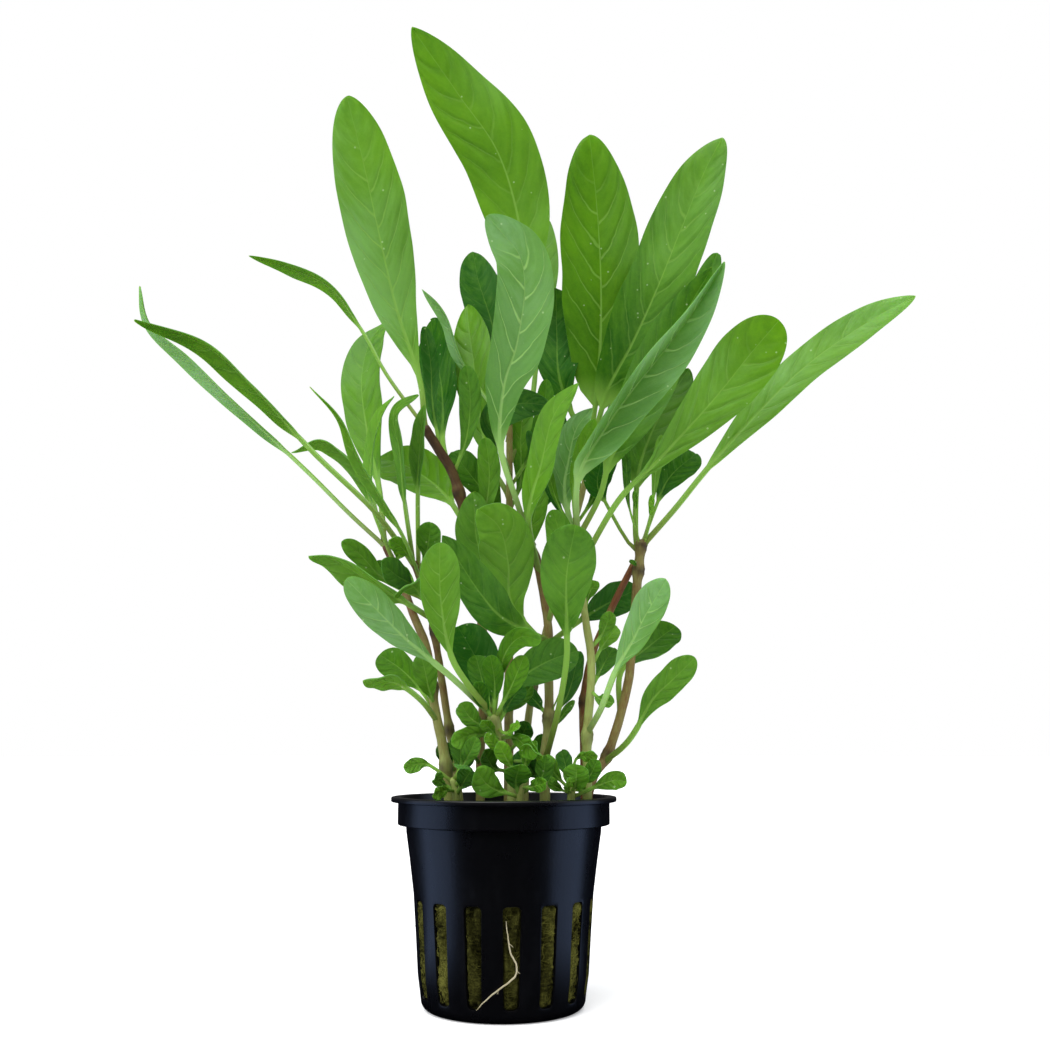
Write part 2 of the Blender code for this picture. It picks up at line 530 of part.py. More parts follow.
def make_leaves(routes, parts, finish):
    """Every leaf that is a piece of its own. Its petiole starts just off its stem."""
    for leaf in LEAVES:
        stem_route, stem = routes[leaf.stem]
        foot = nearest_on(stem_route[0], leaf.route[0])
        route = smooth_route([foot] + leaf.route[1:])
        start = clear_start(route, stem_route, stem)
        sizes = (PETIOLE_WIDTH, PETIOLE_STEPS, BLADE_STEPS)
        mesh = leaf_mesh(leaf.name, route, leaf.width, leaf.outline, leaf.petiole, leaf.turn, sizes, start)
        thicken(add_object(leaf.name, mesh, parts, finish), LEAF_THICKNESS)


def grow_small_leaves(routes, parts, cutters, stem_finish, leaf_finish):
    """Fuse the small leaves to the stems that they grow from."""
    for name in sorted({small.stem for small in SMALL_LEAVES}):
        carrier = as_mesh(bpy.data.objects[name], parts, stem_finish)
        for number, small in enumerate(leaf for leaf in SMALL_LEAVES if leaf.stem == name):
            stem_route = routes[name][0]
            foot = nearest_on(stem_route[0][:-4], small.route[0])
            route = smooth_route([foot] + small.route[1:])
            label = f"{name}_small_leaf_{number + 1}"
            sizes = (SMALL_PETIOLE_WIDTH, 1, SMALL_BLADE_STEPS)
            mesh = leaf_mesh(label, route, small.width, "spoon", small.petiole, (small.turn, small.turn), sizes)
            grown = add_object(label, mesh, cutters, leaf_finish)
            thicken(grown, SMALL_THICKNESS)
            fuse(carrier, grown)


def make_root(parts, finish):
    """The white root that lies over a slot at the front."""
    route = smooth_route(ROOT_ROUTE)
    count = 10
    points = [along(route, i / count) for i in range(count + 1)]
    tube("white_root", points, [ROOT_RADIUS] * (count + 1), 1, parts, finish)


def main():
    for old in list(bpy.data.objects):
        bpy.data.objects.remove(old)
    parts = collection("potted_hygrophila")
    cutters = collection("cutters")
    finishes = {name: material(name) for name in COLOURS}
    make_pot(parts, cutters, finishes["pot_plastic"])
    make_wool(parts, finishes["rock_wool"])
    make_root(parts, finishes["root"])
    routes = make_stems(parts, finishes["stem"])
    make_leaves(routes, parts, finishes["leaf"])
    grow_small_leaves(routes, parts, cutters, finishes["stem"], finishes["leaf"])
    for made in parts.objects:
        if made.type == "MESH":
            made.data.shade_smooth()


main()
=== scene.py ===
"""Potted hygrophila, finished: veined leaves, jointed stems, fibrous rock wool and a slotted net pot.

Every leaf and stem is modelled along the line of its solid, the pot is turned again with finer steps and rounded
slots, and the rock wool gets its fibres. Routes and plain sizes are in millimetres, as the solids were laid out,
and the settings that a user changes are in metres.
"""

import math
import random
from collections import namedtuple

import bmesh
import bpy
from bpy.props import FloatProperty, FloatVectorProperty, IntProperty, PointerProperty
from mathutils import Matrix, Vector, noise


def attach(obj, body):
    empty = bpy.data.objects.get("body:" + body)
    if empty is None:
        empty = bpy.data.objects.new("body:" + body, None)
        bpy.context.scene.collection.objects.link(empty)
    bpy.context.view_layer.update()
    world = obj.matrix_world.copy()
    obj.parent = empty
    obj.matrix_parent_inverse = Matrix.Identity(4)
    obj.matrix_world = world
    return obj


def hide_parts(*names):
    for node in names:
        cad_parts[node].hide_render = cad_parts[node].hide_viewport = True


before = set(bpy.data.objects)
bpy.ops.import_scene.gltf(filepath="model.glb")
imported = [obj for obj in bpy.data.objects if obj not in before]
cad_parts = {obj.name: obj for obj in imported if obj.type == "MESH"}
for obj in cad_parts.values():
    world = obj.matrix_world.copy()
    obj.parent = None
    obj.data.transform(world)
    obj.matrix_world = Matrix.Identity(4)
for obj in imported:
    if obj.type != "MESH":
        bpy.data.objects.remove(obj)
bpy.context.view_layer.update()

bl_info = {
    "name": "Potted hygrophila",
    "version": (1, 0, 0),
    "blender": (4, 5, 0),
    "location": "3D View > Sidebar > Hygrophila",
    "description": "Builds the leaves, stems, rock wool and net pot of a potted water plant",
    "category": "Object",
}

MM = 0.001

# Net pot, as its solid: outside radii and heights
POT_HEIGHT = 49.0
RIM_RADIUS = 27.5
RIM_THICKNESS = 1.2
COLLAR_RADIUS = 25.8
COLLAR_BOTTOM = 42.4
SHOULDER_RADIUS = 23.7
SLOT_TOP_RADIUS = 21.7
LOW_RADIUS = 20.4
LOW_HEIGHT = 8.0
BASE_RADIUS = 17.4
WALL = 1.0
FLOOR = 1.2
POT_STEPS = 180
SLOT_COUNT = 15
SLOT_TOP = 25.6
SLOT_BOTTOM = 3.2
SLOT_TOP_WIDTH = 4.2
SLOT_BOTTOM_WIDTH = 3.4
SLOT_PHASE = math.radians(6.0)

# Rock wool
WOOL_TOP = 46.0
WOOL_COLUMNS = 450
WOOL_GAP = 0.3

# Leaves: rows along and columns across one side of a blade, and how far a side vein runs forward to the margin,
# at most, as a share of the blade, and for each width of the blade
PETIOLE_ROWS = 10
BLADE_ROWS = 78
HALF_COLUMNS = 11
SMALL_ROWS = 34
SMALL_COLUMNS = 6
CLEAR_RADIUS = 0.95
PETIOLE_RADIUS = 0.72
SMALL_PETIOLE_RADIUS = 0.45
MOST_LEAN = 0.29
VEIN_LEAN = 1.0
DISH = 0.12
GAP = 0.3
SPINE_STEPS = 120

# Stems
STEM_COLUMNS = 14
NODE_SWELL = 0.5
NODE_LENGTH = 1.7
STEM_START = WOOL_TOP + 0.6

ROOT_ROUTE = [(0.9, -22.3, 22.8), (1.4, -22.0, 19.1), (2.0, -21.8, 15.7), (3.2, -21.5, 13.5), (3.2, -21.4, 11.4),
              (1.6, -21.5, 9.7), (-1.3, -21.3, 7.6), (-3.5, -20.8, 5.8), (-5.7, -19.9, 3.4)]

# Blade outlines: how the half width grows from the petiole and closes at the tip
OUTLINES = {
    "oval": (0.95, 0.60),
    "lance": (0.80, 0.80),
    "spoon": (1.00, 0.50),
    "strap": (0.85, 0.62),
    "broad": (0.55, 0.55),
    "paddle": (1.5, 0.5),
    "thread": (0.90, 1.50),
}

# How light a leaf is, from 0 to 1, as painted light and shade from a shaded leaf to a well lit one, and whether
# its upper side faces the front
LOOKS = {
    "brightest": (0.95, True),
    "bright": (0.75, True),
    "plain": (0.5, True),
    "deep": (0.28, True),
    "dark": (0.05, True),
    "pale": (0.9, False),
    "grey": (0.55, False),
}

# Stems: radii at the foot and the top, where nodes swell, how brown the foot and the top are, and the route
Stem = namedtuple("Stem", "name foot top nodes brown route")
STEMS = [
    Stem("left_stem", 1.3, 0.9, (0.14, 0.42), (0.15, 1.0),
         [(-13, -4, STEM_START), (-14, -5, 56), (-15, -5, 62), (-17, -5, 71), (-19, -4, 84),
          (-23, -2, 94), (-27, 1, 104), (-31, 3, 112)]),
    Stem("left_inner_stem", 1.0, 0.85, (0.3, 0.7), (0.3, 0.95),
         [(-11, 5, STEM_START), (-13, 5, 60), (-15, 4, 72), (-17, 2, 85), (-19, -1, 96), (-23, -4, 107)]),
    Stem("brown_stem", 1.1, 1.25, (0.2, 0.5, 0.8), (0.5, 0.95),
         [(-6, 6, STEM_START), (-6, 6, 63), (-5, 5, 78), (-6, 4, 93), (-9, 3, 113), (-13, 1, 129),
          (-17, -1, 136), (-21, -3, 142)]),
    Stem("tall_back_stem", 1.25, 0.8, (0.25, 0.55), (0.5, 0.6),
         [(1, 8, STEM_START), (1, 9, 66), (1, 10, 86), (1, 11, 109), (1, 11, 134), (1, 10, 150)]),
    Stem("right_back_stem", 1.0, 0.8, (0.3, 0.6), (0.3, 0.4),
         [(5, 13, STEM_START), (6, 14, 68), (10, 15, 88), (16, 15, 111), (21, 16, 130), (23, 16, 143)]),
    Stem("centre_stem", 1.3, 0.9, (0.33, 0.95), (0.2, 0.8),
         [(10, -3, STEM_START), (10, -3, 58), (11, -3, 68), (11, -3, 80), (11, -4, 89), (9, -5, 102),
          (7, -6, 110)]),
    Stem("front_stem", 1.15, 0.8, (0.26, 0.95), (0.05, 0.2),
         [(20, -8, STEM_START), (20, -9, 55), (20, -10, 64), (21, -11, 76), (21, -11, 83), (20, -11, 90),
          (19, -11, 98), (18, -10, 111)]),
    Stem("right_stem", 1.15, 1.15, (0.2, 0.88, 0.97), (0.75, 0.6),
         [(20, -1, STEM_START), (22, -1, 54), (25, 0, 58), (27, 0, 63), (29, 1, 69), (31, 1, 77),
          (32, 1, 85), (33, 1, 95), (34, 0, 106), (35, 0, 113)]),
    Stem("red_stem", 1.0, 0.85, (0.4,), (0.9, 0.95),
         [(20, 6, STEM_START), (20, 7, 60), (20, 8, 71), (22, 7, 83), (27, 5, 95), (32, 3, 105), (33.4, 2.6, 107.6)]),
    Stem("low_shoot", 1.2, 1.0, (0.9,), (0.1, 0.05),
         [(2, -9, STEM_START), (2, -9, 57), (0, -10, 60), (-1, -11, 64), (-3, -12, 69)]),
    Stem("left_runner", 1.0, 0.8, (), (0.1, 0.0), [(-11, -12, STEM_START), (-11, -13, 50), (-12, -14, 54)]),
    Stem("front_runner", 1.0, 0.8, (), (0.1, 0.0), [(4, -15, STEM_START), (4, -16, 50), (5, -17, 54)]),
    Stem("right_runner", 1.0, 0.8, (), (0.1, 0.0), [(16, -12, STEM_START), (16, -13, 50), (17, -14, 53)]),
]

# Stems whose upper part is darker, from 0 to 1
DARK_TOPS = {"brown_stem": 0.85, "left_stem": 0.45, "left_inner_stem": 0.5, "centre_stem": 0.4, "right_stem": 0.3}

# Leaves: the stem each grows from, its outline, blade width, the share of its length that is petiole, the turn of
# the blade about its midrib at the petiole and at the tip in degrees, its look, and its midrib's points
Leaf = namedtuple("Leaf", "name stem outline width petiole turn look route")
LEAVES = [
    Leaf("tallest_leaf", "tall_back_stem", "lance", 21, 0.25, (0, 0), "bright",
         [(2, 9, 151), (4, 9, 178), (4, 8, 199), (-2, 5, 221), (-13, 2, 237), (-26, -2, 255)]),
    Leaf("tall_left_leaf", "brown_stem", "oval", 17, 0.12, (0, 0), "brightest",
         [(-21, -3, 141), (-22, -4, 154), (-28, -7, 172), (-32, -12, 189), (-36, -17, 207), (-40, -22, 223)]),
    Leaf("folded_centre_leaf", "centre_stem", "oval", 15, 0.26, (0, 0), "pale",
         [(7, -7, 110), (3, -10, 121), (-1, -14, 134), (0, -18, 148), (3, -21, 157), (5, -25, 169),
          (4, -28, 177), (0, -30, 182), (-4, -32, 186)]),
    Leaf("broad_upright_leaf", "right_back_stem", "broad", 22, 0.08, (0, 0), "plain",
         [(23, 16, 144), (25, 15, 158), (26, 14, 174), (26, 12, 190), (25, 10, 209), (23, 7, 228)]),
    Leaf("tall_right_leaf", "right_back_stem", "broad", 20, 0.08, (30, 30), "bright",
         [(22, 16, 136), (27, 11, 154), (34, 6, 167), (41, 1, 182), (47, -3, 197), (52, -7, 209),
          (57, -10, 218)]),
    Leaf("creased_front_leaf", "front_stem", "lance", 14, 0.16, (-12, -12), "grey",
         [(18, -13, 116), (18, -19, 125), (24, -25, 135), (30, -30, 143), (38, -36, 152), (44, -42, 159),
          (50, -47, 168)]),
    Leaf("behind_crease_leaf", "front_stem", "lance", 13, 0.22, (0, 0), "plain",
         [(21, -7, 114), (24, -5, 123), (27, -4, 133), (35, -4, 148), (43, -4, 165), (54, -5, 184)]),
    Leaf("right_back_leaf", "right_stem", "lance", 15, 0.30, (0, 0), "plain",
         [(34, 0, 107), (34, 7, 118), (36, 13, 135), (43, 20, 152), (52, 28, 167)]),
    Leaf("broad_right_leaf", "front_stem", "paddle", 15.5, 0.22, (0, 0), "brightest",
         [(19, -11, 104), (28, -15, 120), (38, -16, 130), (51, -19, 144), (60, -21, 155), (67, -23, 163)]),
    Leaf("long_right_leaf", "right_stem", "strap", 10.5, 0.22, (25, 25), "brightest",
         [(35, -3, 111), (43, -4, 120), (53, -5, 132), (73, -8, 153), (91, -12, 166), (103, -16, 172)]),
    Leaf("far_left_low_leaf", "left_stem", "lance", 5.5, 0.32, (50, 50), "pale",
         [(-31, 5, 111), (-41, 7, 121), (-52, 9, 132), (-69, 11, 148), (-86, 13, 164), (-98, 14, 175),
          (-102, 15, 187)]),
    Leaf("far_left_high_leaf", "left_inner_stem", "lance", 7, 0.42, (50, 50), "bright",
         [(-23, -4, 105), (-28, -8, 113), (-33, -12, 119), (-47, -16, 132), (-61, -19, 147), (-74, -21, 158),
          (-89, -26, 162)]),
    Leaf("upper_left_leaf", "brown_stem", "lance", 4.5, 0.42, (50, 50), "bright",
         [(-22, 3, 143), (-32, 8, 159), (-39, 12, 172), (-49, 17, 187), (-62, 22, 195), (-75, 27, 201)]),
    Leaf("left_back_leaf", "left_stem", "oval", 13, 0.22, (20, 20), "plain",
         [(-31, 8, 114), (-34, 14, 129), (-39, 24, 148), (-42, 32, 165), (-41, 38, 178), (-37, 42, 186)]),
    Leaf("left_front_leaf", "left_stem", "lance", 5.5, 0.25, (50, 50), "brightest",
         [(-30, 2, 109), (-34, 3, 123), (-35, 4, 134), (-33, 3, 145), (-29, 1, 151)]),
    Leaf("left_edge_leaf", "left_inner_stem", "thread", 4, 0.20, (40, 40), "bright",
         [(-21, -2, 101), (-24, -11, 110), (-29, -17, 119), (-35, -22, 129), (-39, -25, 138), (-46, -27, 145)]),
    Leaf("left_curled_leaf", "left_stem", "lance", 6, 0.25, (60, 60), "bright",
         [(-28, 1, 106), (-33, -3, 119), (-36, -4, 128), (-41, -5, 134), (-47, -6, 137), (-54, -6, 134)]),
    Leaf("left_upright_leaf", "left_inner_stem", "lance", 6, 0.25, (60, 60), "plain",
         [(-23, -4, 107), (-25, -9, 122), (-26, -11, 133), (-27, -14, 142), (-21, -17, 146)]),
    Leaf("inner_narrow_leaf", "left_inner_stem", "lance", 5.5, 0.40, (40, 40), "plain",
         [(-22, -2, 103), (-22, -4, 124), (-21, -9, 137), (-20, -12, 145)]),
    Leaf("level_back_leaf", "brown_stem", "oval", 15, 0.20, (0, 0), "bright",
         [(-10, 8, 117), (-17, 20, 129), (-27, 34, 139), (-39, 48, 146)]),
    Leaf("dark_back_left_leaf", "brown_stem", "oval", 15, 0.25, (30, 30), "dark",
         [(-13, 6, 130), (-17, 14, 141), (-18, 24, 157), (-21, 34, 175), (-23, 40, 186)]),
    Leaf("bright_back_leaf", "tall_back_stem", "oval", 13, 0.15, (20, 20), "bright",
         [(0, 13, 126), (-5, 18, 139), (-8, 24, 157), (-10, 30, 173), (-12, 36, 189)]),
    Leaf("dark_back_top_leaf", "tall_back_stem", "oval", 13, 0.20, (10, 10), "dark",
         [(1, 11, 141), (0, 24, 163), (-5, 36, 185), (-9, 44, 200), (-11, 50, 212)]),
    Leaf("thin_arched_leaf", "tall_back_stem", "lance", 4, 0.20, (50, 50), "pale",
         [(-7, 10, 144), (-12, 12, 164), (-17, 16, 178), (-24, 20, 188)]),
    Leaf("behind_tallest_leaf", "tall_back_stem", "oval", 9, 0.30, (20, 20), "bright",
         [(1, 11, 136), (7, 24, 156), (9, 34, 181), (11, 42, 203), (11, 50, 224)]),
    Leaf("dark_between_leaf", "right_back_stem", "oval", 14, 0.15, (0, 0), "dark",
         [(15, 10, 141), (15, 14, 158), (14, 18, 174), (14, 22, 189)]),
    Leaf("dark_arched_leaf", "tall_back_stem", "lance", 9, 0.10, (50, 50), "dark",
         [(-3, 4, 132), (-3, 0, 143), (3, -5, 147), (12, -11, 145)]),
    Leaf("bright_narrow_leaf", "centre_stem", "lance", 8, 0.15, (40, 40), "bright",
         [(9, -5, 103), (6, -13, 116), (9, -17, 128), (12, -22, 139), (18, -27, 146)]),
    Leaf("pale_upright_leaf", "front_stem", "lance", 8, 0.15, (0, 0), "grey",
         [(18, -10, 108), (15, -11, 122), (16, -11, 131), (18, -11, 139), (22, -12, 144)]),
    Leaf("centre_broad_leaf", "centre_stem", "oval", 13.5, 0.12, (0, 0), "bright",
         [(6, -7, 84), (2, -8, 95), (1, -11, 105), (-1, -15, 113), (-6, -19, 117)]),
    Leaf("centre_left_leaf", "tall_back_stem", "oval", 10, 0.10, (0, 0), "plain",
         [(1, 9, 92), (-3, 0, 103), (-7, -2, 112), (-8, -1, 125)]),
    Leaf("slanting_leaf", "centre_stem", "lance", 10.5, 0.12, (0, 0), "deep",
         [(4, -13, 85), (0, -16, 91), (-5, -20, 96), (-10, -24, 103), (-14, -28, 109)]),
    Leaf("pale_front_leaf", "low_shoot", "spoon", 9.5, 0.38, (0, 0), "brightest",
         [(-3, -15, 69), (-8, -20, 75), (-12, -25, 82), (-14, -31, 94), (-14, -36, 106)]),
    Leaf("lower_left_leaf", "low_shoot", "spoon", 8, 0.34, (0, 0), "pale",
         [(-4, -11, 68), (-11, -17, 76), (-17, -21, 81), (-23, -25, 86), (-28, -29, 91), (-35, -34, 98)]),
    Leaf("low_left_thin_leaf", "left_stem", "lance", 7, 0.40, (40, 40), "bright",
         [(-16, -7, 67), (-20, -10, 72), (-26, -13, 76), (-33, -17, 76)]),
    Leaf("left_outer_leaf", "left_inner_stem", "lance", 9, 0.25, (50, 50), "bright",
         [(-20, -8, 90), (-25, -12, 96), (-34, -16, 101), (-41, -19, 105), (-46, -21, 105)]),
    Leaf("dark_front_leaf", "low_shoot", "spoon", 10, 0.15, (0, 0), "deep",
         [(-2, -11, 66), (3, -9, 76), (10, -8, 81), (18, -8, 84)]),
    Leaf("broad_front_leaf", "centre_stem", "spoon", 13, 0.50, (0, 0), "plain",
         [(11, -7, 57), (13, -11, 69), (15, -15, 81), (15, -18, 90), (15, -21, 101), (17, -25, 112)]),
    Leaf("pale_right_leaf", "front_stem", "spoon", 8.5, 0.37, (30, 30), "pale",
         [(20, -12, 64), (23, -18, 70), (26, -22, 78), (30, -25, 85), (33, -29, 91), (37, -33, 98)]),
    Leaf("dark_right_leaf", "right_back_stem", "spoon", 9, 0.30, (0, 0), "dark",
         [(10, 17, 87), (19, 12, 93), (27, 13, 98), (35, 16, 102)]),
    Leaf("right_middle_leaf", "right_stem", "spoon", 10, 0.35, (0, 0), "deep",
         [(26, 6, 69), (30, 11, 80), (38, 17, 87), (46, 23, 93)]),
    Leaf("low_right_leaf", "right_stem", "spoon", 7.5, 0.30, (20, 20), "plain",
         [(25, -2, 57), (29, -5, 61), (32, -7, 65), (36, -8, 72), (41, -10, 77), (46, -12, 82)]),
]

# Leaves that are folded along the midrib, with the angle of each half in degrees
FOLDS = {
    "creased_front_leaf": 46,
    "folded_centre_leaf": 20,
    "far_left_low_leaf": 30,
    "far_left_high_leaf": 30,
    "upper_left_leaf": 30,
    "left_edge_leaf": 35,
    "left_curled_leaf": 30,
    "left_front_leaf": 25,
    "inner_narrow_leaf": 25,
    "thin_arched_leaf": 30,
    "left_outer_leaf": 25,
}

# Leaves whose side veins show more than the others, from 0 to 1
VEINED = {
    "tall_left_leaf": 0.9,
    "folded_centre_leaf": 1.0,
    "broad_upright_leaf": 1.0,
    "tall_right_leaf": 0.8,
    "creased_front_leaf": 0.8,
    "broad_right_leaf": 0.5,
    "tallest_leaf": 0.35,
    "pale_front_leaf": 1.0,
    "lower_left_leaf": 0.7,
    "pale_right_leaf": 0.8,
}
PLAIN_VEINS = 0.45

# Where a leaf has pale patches of painted sheen: at its petiole and tip, times at its left edge, middle and right edge.
# A middle with none leaves a folded leaf's crease darker, as painted shade. Then how much lighter it is at its
# petiole and tip than its look, as painted light and shade along the blade
Shade = namedtuple("Shade", "foot_wax tip_wax left middle right foot_tone tip_tone")
PLAIN_SHADE = Shade(0.2, 0.2, 1.0, 0.8, 1.0, -0.08, 0.04)
SHADES = {
    "tallest_leaf": Shade(0.35, 0.15, 0.1, 0.3, 1.0, 0.0, 0.0),
    "tall_left_leaf": Shade(0.9, 0.55, 1.0, 0.7, 0.4, -0.15, -0.05),
    "folded_centre_leaf": Shade(0.05, 1.0, 0.9, 0.8, 1.0, -0.35, -0.05),
    "broad_upright_leaf": Shade(0.35, 0.1, 0.2, 0.1, 1.0, 0.0, 0.1),
    "tall_right_leaf": Shade(0.0, 0.75, 1.0, 0.6, 0.8, -0.5, 0.1),
    "creased_front_leaf": Shade(1.0, 0.8, 1.0, 0.0, 0.9, 0.0, 0.0),
    "behind_crease_leaf": Shade(0.3, 0.1, 1.0, 0.3, 1.0, 0.0, -0.3),
    "broad_right_leaf": Shade(1.0, 0.0, 1.0, 0.8, 0.5, -0.2, -0.1),
    "long_right_leaf": Shade(0.6, 0.8, 1.0, 0.9, 0.4, 0.0, -0.1),
    "left_back_leaf": Shade(0.5, 0.3, 1.0, 0.8, 0.4, 0.1, 0.05),
    "pale_front_leaf": Shade(0.3, 0.3, 1.0, 0.6, 1.0, -0.15, -0.1),
    "lower_left_leaf": Shade(0.8, 0.9, 1.0, 1.0, 0.5, -0.35, -0.2),
    "pale_right_leaf": Shade(0.8, 0.7, 1.0, 0.8, 0.7, -0.3, -0.25),
    "pale_upright_leaf": Shade(0.9, 0.6, 1.0, 0.5, 1.0, 0.0, 0.0),
    "far_left_low_leaf": Shade(0.8, 1.0, 1.0, 1.0, 1.0, -0.3, 0.0),
    "far_left_high_leaf": Shade(0.3, 0.0, 0.2, 0.3, 1.0, -0.1, -0.3),
    "upper_left_leaf": Shade(0.3, 0.0, 0.2, 0.3, 1.0, -0.1, -0.2),
    "thin_arched_leaf": Shade(0.5, 1.0, 1.0, 1.0, 1.0, -0.4, 0.0),
    "level_back_leaf": Shade(0.0, 0.3, 1.0, 0.3, 0.0, 0.1, -0.2),
}

# Small leaves that grow in one piece with a stem's solid: width, petiole share, turn, look and route
Small = namedtuple("Small", "stem width petiole turn look route")
SMALL_LEAVES = [
    Small("left_stem", 6, 0.15, 0, "plain", [(-16, -6, 71), (-18, -8, 74), (-19, -10, 79), (-20, -11, 83)]),
    Small("left_stem", 8, 0.35, 0, "deep", [(-16, -2, 69), (-21, 0, 75), (-26, 3, 80), (-32, 6, 84)]),
    Small("left_inner_stem", 5, 0.40, 20, "bright", [(-20, -3, 96), (-29, -8, 101), (-35, -12, 107), (-39, -15, 110)]),
    Small("left_inner_stem", 6, 0.40, 0, "brightest", [(-20, 1, 96), (-26, 7, 103), (-30, 9, 107)]),
    Small("left_inner_stem", 4, 0.30, 0, "plain", [(-22, -5, 100), (-21, -9, 99), (-19, -12, 101)]),
    Small("left_inner_stem", 6.5, 0.30, 0, "deep", [(-22, -4, 104), (-19, -8, 109), (-18, -12, 115)]),
    Small("left_inner_stem", 5, 0.35, 0, "bright", [(-19, 0, 94), (-22, -15, 99), (-25, -22, 96)]),
    Small("centre_stem", 7, 0.25, 0, "plain", [(12, -6, 91), (13, -13, 101), (14, -13, 109), (12, -13, 118)]),
    Small("front_stem", 4, 0.40, 0, "brightest", [(20, -9, 80), (24, -7, 85), (28, -5, 90)]),
    Small("front_stem", 5, 0.30, 0, "deep", [(21, -9, 74), (24, -6, 80), (27, -3, 85)]),
    Small("front_stem", 3.5, 0.30, 0, "plain", [(21, -12, 74), (23, -14, 72), (26, -16, 71)]),
    Small("right_stem", 8, 0.60, 0, "dark", [(34, 0, 109), (31, 1, 113), (26, 3, 123), (24, 4, 128), (25, 5, 134)]),
    Small("right_stem", 9, 0.45, 0, "deep", [(35, 2, 112), (40, 9, 124), (44, 13, 132), (52, 19, 140)]),
    Small("low_shoot", 12, 0.20, 0, "dark", [(-2, -9, 66), (-6, 0, 80), (-9, 2, 86), (-12, 4, 91)]),
    Small("low_shoot", 5, 0.30, 20, "plain", [(-3, -13, 68), (0, -18, 81), (4, -22, 86), (9, -26, 85)]),
    Small("low_shoot", 5, 0.30, 0, "deep", [(-2, -13, 68), (-2, -17, 76), (-3, -20, 82)]),
    Small("low_shoot", 5, 0.30, 0, "plain", [(-3, -13, 69), (2, -17, 75), (5, -19, 82)]),
    Small("low_shoot", 5, 0.30, 0, "plain", [(-2, -11, 64), (-7, -15, 67), (-10, -18, 71)]),
    Small("low_shoot", 5, 0.30, 0, "bright", [(-2, -9, 62), (-6, -14, 64), (-12, -18, 62)]),
    Small("left_runner", 3.6, 0.50, 0, "bright", [(-13, -12, 53), (-18, -15, 57), (-23, -17, 56)]),
    Small("left_runner", 3, 0.30, 0, "plain", [(-13, -12, 51), (-15, -15, 53), (-15, -17, 55)]),
    Small("left_runner", 5, 0.30, 0, "deep", [(-11, -12, 50), (-9, -17, 53), (-7, -20, 56)]),
    Small("left_runner", 5, 0.30, 0, "deep", [(-11, -10, 51), (-10, -12, 59), (-11, -14, 64)]),
    Small("front_runner", 6.5, 0.25, 0, "plain", [(1, -15, 50), (-3, -19, 52), (-6, -22, 56)]),
    Small("front_runner", 6.5, 0.25, 0, "deep", [(2, -14, 50), (3, -18, 53), (4, -21, 57)]),
    Small("front_runner", 5, 0.30, 0, "plain", [(4, -16, 54), (6, -19, 60), (9, -22, 59)]),
    Small("front_runner", 4.5, 0.30, 0, "deep", [(5, -16, 50), (9, -16, 54), (10, -17, 59)]),
    Small("right_runner", 6.5, 0.25, 0, "plain", [(17, -14, 50), (17, -17, 53), (17, -19, 57)]),
    Small("right_runner", 3, 0.55, 0, "bright", [(16, -13, 52), (17, -15, 58), (22, -17, 59)]),
    Small("right_runner", 4.5, 0.40, 0, "bright", [(18, -13, 49), (25, -14, 53), (29, -14, 53)]),
]

